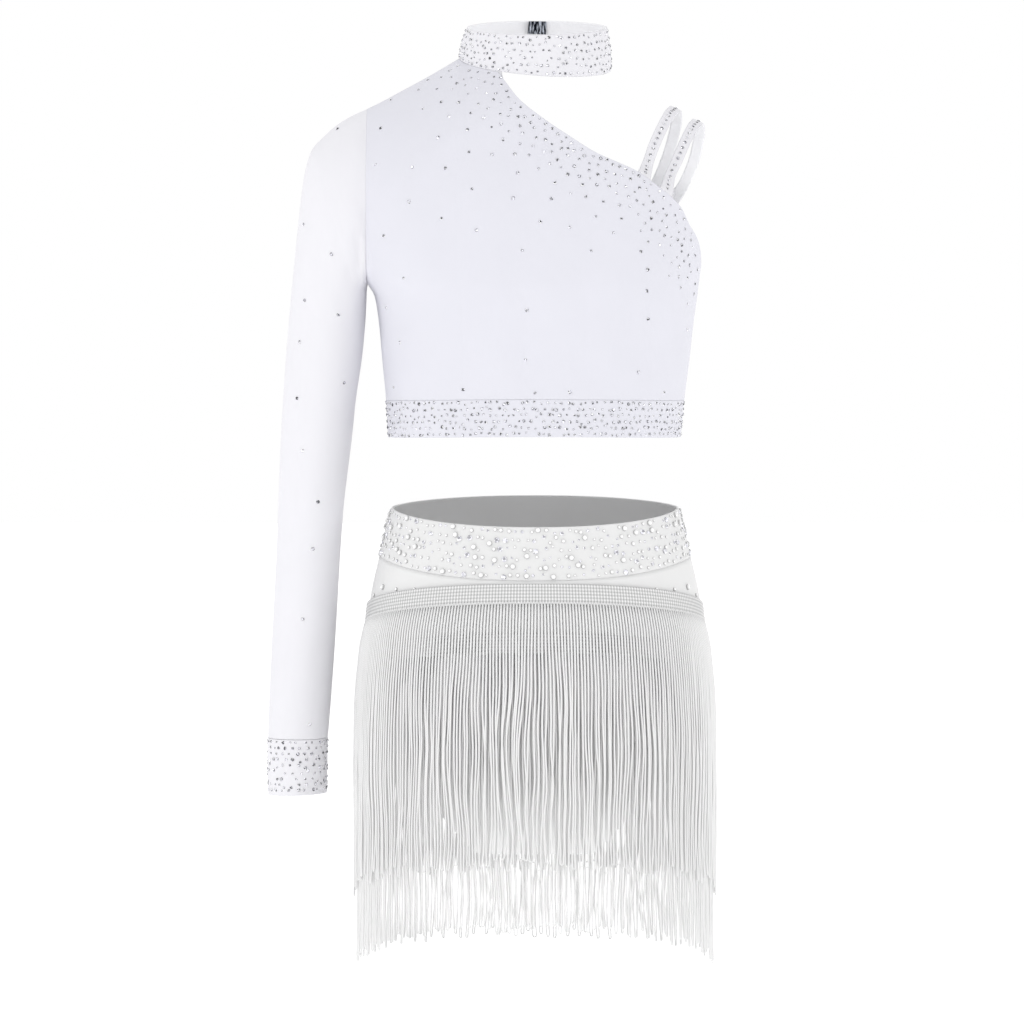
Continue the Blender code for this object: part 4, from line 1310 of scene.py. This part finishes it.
def even_rows(band, chance):
    """Spots (along, up, width) in staggered rows over a band, a little uneven as if set by hand."""
    spots = []
    gap = band.height / band.rows
    count = int(band.length / band.pitch)
    for r in range(band.rows):
        for i in range(count):
            if chance.random() < MISSED:
                continue
            along = (i + 0.5 * (r % 2) + chance.gauss(0, UNEVEN)) / count
            up = (r + 0.5 + chance.gauss(0, UNEVEN)) * gap / band.height
            spots.append((along % 1.0, min(max(up, INSET), 1 - INSET), chance.choice(band.sizes)))
    return spots


def spots_round(band, point_at, oval, chance):
    """A band's stones, as places and widths, where point_at gives a place from its angle and share."""
    angles = even_angles(ROUND_PLACES, oval)
    return [
        (point_at(angles[int(along * ROUND_PLACES) % ROUND_PLACES], up), wide)
        for along, up, wide in even_rows(band, chance)
    ]


chance = random.Random(11)
set_stones("hem_stones", hem_cloth, spots_round(HEM_BAND, hem_point, HEM_OVAL, chance), 1)

collar_spots = [
    (collar_point(collar_start + collar_turn * along, up), wide)
    for along, up, wide in even_rows(COLLAR_BAND, chance)
    if COLLAR_END < along < 1 - COLLAR_END
]
set_stones("collar_stones", collar_cloth, collar_spots, 2)

fine_cuff = refine([sleeve_section(row, CUFF_PLACES) for row in CUFF_ROWS], CUFF_LEVELS // 2)
cuff_spots = [
    (fine_cuff[1 + int(up * CUFF_LEVELS)][int(along * CUFF_PLACES) % CUFF_PLACES], wide)
    for along, up, wide in even_rows(CUFF_BAND, chance)
]
set_stones("cuff_stones", cuff_cloth, cuff_spots, 3)

for route, carrier in zip(strap_routes, strap_cloths):
    travel = 0.0
    spots = []
    for before, after in zip(route, route[1:]):
        travel += (after - before).length
        if after.y < STRAP_STONES_TO_Y and travel > STRAP_PITCH:
            spots.append((after, STRAP_STONE))
            travel = 0.0
    set_stones(carrier.name.replace("_cloth", "_stones"), carrier, spots, 4)

# Stones scattered over the bodice and the sleeve
# They lie closest along the neckline, round the straps and down the bare arm's edge, and thin out below.
# A few large ones stand far apart down the sleeve, each glued by hand.

NEAR_SPACE = 4.7
FAR_SPACE = 25.0
DENSE_REACH = 9.0
THIN_REACH = 66.0
EDGE_MARGIN = 1.9
SIDE_MARGIN = 2.0
EDGE_FROM_X = -58.0
EDGE_STEP = 2.5
STRAPS_FROM_X = 60.0  # from here the stones lie closer, under the straps
STRAPS_FULL = 35.0
STRAPS_FROM_Z = 190.0
STRAPS_HIGH = 25.0
STRAPS_DENSER = 0.4
FIELD_X = (-122, 124)
FIELD_Z = (90, 345)
TRIES = 12000
CLOSE_SPACE = 14.0  # where the stones stand closer than this they are a little smaller

edge_count = math.ceil((ARMPIT_X - EDGE_FROM_X) / EDGE_STEP)
edge_places = [EDGE_FROM_X + EDGE_STEP * i for i in range(edge_count)]
edge_line = [Vector((x, bodice_top(x, False))) for x in edge_places]


def stone_space(across, height):
    """How far apart the scattered stones stand at a place on the front."""
    away = min((Vector((across, height)) - p).length for p in edge_line)
    strap_side = ease((across - STRAPS_FROM_X) / STRAPS_FULL)
    strap_height = ease((height - STRAPS_FROM_Z) / STRAPS_HIGH)
    by_straps = 1 - STRAPS_DENSER * strap_side * strap_height
    return NEAR_SPACE + (FAR_SPACE - NEAR_SPACE) * ease((away * by_straps - DENSE_REACH) / THIN_REACH)


def scatter(tries, seed):
    """Spots on the bodice's front, none closer than its space allows."""
    draw = random.Random(seed)
    kept = []
    for _ in range(tries):
        across, height = draw.uniform(*FIELD_X), draw.uniform(*FIELD_Z)
        limit = -ARMHOLE_X if across < 0 else ARMPIT_X
        half = min(curve(TORSO, "right" if across > 0 else "left", height), limit)
        if abs(across) > half - SIDE_MARGIN or height > bodice_top(across, False) - EDGE_MARGIN:
            continue
        space = stone_space(across, height)
        if all((across - x) ** 2 + (height - z) ** 2 > min(space, s) ** 2 for x, z, s in kept):
            kept.append((across, height, space))
    return kept


front_spots = []
for across, height, space in scatter(TRIES, 5):
    wide = chance.choice((1.8, 2.2, 2.6) if space < CLOSE_SPACE else (2.2, 2.6, 3.0))
    front_spots.append((Vector((across, -torso_depth(across, height, False), height)), wide))
set_stones("bodice_stones", bodice_front_cloth, front_spots, 6)

SleeveStone = namedtuple("SleeveStone", "across height")
SLEEVE_STONES = [
    SleeveStone(-151, 291), SleeveStone(-155, 195), SleeveStone(-177, 218), SleeveStone(-176, 160),
    SleeveStone(-150, 149), SleeveStone(-180, 128), SleeveStone(-146, 97), SleeveStone(-182, 85),
    SleeveStone(-178, 45), SleeveStone(-166, 6), SleeveStone(-170, -30), SleeveStone(-178, -84),
    SleeveStone(-173, -165),
]
SLEEVE_STONE = 2.8
IN_FRONT_Y = -160.0  # a place in front of the whole costume


def spot_on_front(tree, across, height):
    """The place on a piece's front that lies straight behind this one in the front view."""
    return tree.ray_cast(Vector((across, IN_FRONT_Y, height)) * MM, Vector((0, 1, 0)))[0] / MM


sleeve_tree = tree_of(sleeve_cloth)
sleeve_spots = [(spot_on_front(sleeve_tree, *stone), SLEEVE_STONE) for stone in SLEEVE_STONES]
set_stones("sleeve_stones", sleeve_cloth, sleeve_spots, 7)

# Stones on the skirt's waistband and yoke
# Large and small clear stones stand among half-round pearls, whose feet are painted darker as thin rings of
# painted shade.
# A few pearls sit on the yoke over the fringe's corners.

WAIST_BAND = StoneBand(650, 37, 5.6, 6, (2.0, 2.2, 2.6, 3.2, 4.4))
SET_OF = 5  # of this many stones in a row
PEARLS_IN_SET = 3  # so many are pearls

waist_spots = spots_round(WAIST_BAND, waist_point, WAIST_OVAL, chance)
clear_spots = [spot for i, spot in enumerate(waist_spots) if i % SET_OF >= PEARLS_IN_SET]
pearl_spots = [spot for i, spot in enumerate(waist_spots) if i % SET_OF < PEARLS_IN_SET]
set_stones("waist_stones", waist_cloth, clear_spots, 8, clear=True)

PEARL_SIDES = 10
PEARL_RINGS = ((0.97, -0.05), (1.0, 0.08), (0.86, 0.3), (0.5, 0.46))  # share of the half width, and height
PEARL_TOP = 0.5
PEARL_PAINTED_SHADE_TONES = (0.68, 0.72, 0.92, 0.98)  # painted shade darkest at the foot, as a thin dark ring, and painted light towards the top

pearl_glaze = glass_paint("pearl_glaze", 0.0, 0.25)


def add_pearl(bm, facet, place, up, across):
    """One half-round pearl, standing on a cloth."""
    side = up.orthogonal().normalized()
    front = up.cross(side)
    turns = [2 * math.pi * k / PEARL_SIDES for k in range(PEARL_SIDES)]
    rings = []
    for share, high in PEARL_RINGS:
        arms = [(side * math.cos(a) + front * math.sin(a)) * share / 2 + up * high for a in turns]
        rings.append([bm.verts.new(place + arm * across * MM) for arm in arms])
    top = bm.verts.new(place + up * PEARL_TOP * across * MM)
    faces = [(bm.faces.new(list(reversed(rings[0]))), PEARL_PAINTED_SHADE_TONES[0])]
    for k in range(PEARL_SIDES):
        j = (k + 1) % PEARL_SIDES
        for low, high, tone in zip(rings, rings[1:], PEARL_PAINTED_SHADE_TONES):
            faces.append((bm.faces.new((low[k], low[j], high[j], high[k])), tone))
        faces.append((bm.faces.new((rings[-1][k], rings[-1][j], top)), PEARL_PAINTED_SHADE_TONES[-1]))
    for face, tone in faces:
        face.smooth = True
        for corner in face.loops:
            corner[facet] = (tone, tone, tone, 1)


def set_pearls(name, carrier, spots):
    """A joined mesh of half-round pearls, each standing on the carrier cloth."""
    tree = tree_of(carrier)
    bm = bmesh.new()
    facet = bm.loops.layers.color.new("facet")
    for place, across in spots:
        found, up, _, _ = tree.find_nearest(place * MM)
        add_pearl(bm, facet, found, up, across)
    piece = finished_piece(name, bm, [pearl_glaze])
    return piece


set_pearls("waist_pearls", waist_cloth, pearl_spots)

YokeStone = namedtuple("YokeStone", "across height wide")
YOKE_STONES = [
    YokeStone(-116, -58.5, 4.6), YokeStone(-105.5, -59.3, 3.0), YokeStone(-91.6, -58.5, 2.8),
    YokeStone(-123, -65.5, 2.8), YokeStone(116, -58.5, 4.6), YokeStone(105.5, -59.3, 3.0),
    YokeStone(91.6, -58.5, 2.8), YokeStone(123, -65.5, 2.8),
]
yoke_tree = tree_of(brief_cloths[0])
yoke_spots = [(spot_on_front(yoke_tree, s.across, s.height), s.wide) for s in YOKE_STONES]
set_pearls("yoke_pearls", brief_cloths[0], yoke_spots)

# The hook and bar
# Pressed steel, sewn inside the collar's two ends; the hook reaches over the bar and holds it.
# The steel is dark and brushed along its height; its colour streaks from near-black to pale, partly brushed
# grain and partly painted reflection.

steel = bpy.data.materials.new("brushed_dark_steel")
steel.use_nodes = True
steel_nodes, steel_links = steel.node_tree.nodes, steel.node_tree.links
steel_shader = steel_nodes["Principled BSDF"]
steel_shader.inputs["Metallic"].default_value = 1.0
steel_shader.inputs["Roughness"].default_value = 0.38
steel_place = steel_nodes.new("ShaderNodeTexCoord")
steel_stretch = steel_nodes.new("ShaderNodeMapping")
steel_stretch.inputs["Scale"].default_value = (800.0, 800.0, 60.0)
steel_grain = steel_nodes.new("ShaderNodeTexNoise")
steel_grain.inputs["Scale"].default_value = 1.0
steel_grain_and_reflection_tone = steel_nodes.new("ShaderNodeMix")
steel_grain_and_reflection_tone.data_type = "RGBA"
# Near-black and pale streaks: partly brushed grain, partly painted reflection.
steel_grain_and_reflection_tone.inputs["A"].default_value = (0.004, 0.006, 0.012, 1)
steel_grain_and_reflection_tone.inputs["B"].default_value = (0.62, 0.66, 0.74, 1)
steel_grain_and_painted_streaks = steel_nodes.new("ShaderNodeMapRange")
steel_grain_and_painted_streaks.inputs["From Min"].default_value = 0.45
steel_grain_and_painted_streaks.inputs["From Max"].default_value = 0.68
steel_links.new(steel_place.outputs["Object"], steel_stretch.inputs["Vector"])
steel_links.new(steel_stretch.outputs["Vector"], steel_grain.inputs["Vector"])
steel_links.new(steel_grain.outputs["Fac"], steel_grain_and_painted_streaks.inputs["Value"])
steel_links.new(steel_grain_and_painted_streaks.outputs["Result"], steel_grain_and_reflection_tone.inputs["Factor"])
steel_links.new(steel_grain_and_reflection_tone.outputs["Result"], steel_shader.inputs["Base Color"])
for node in ("closure_hook", "closure_bar"):
    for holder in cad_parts[node].material_slots:
        holder.material = steel
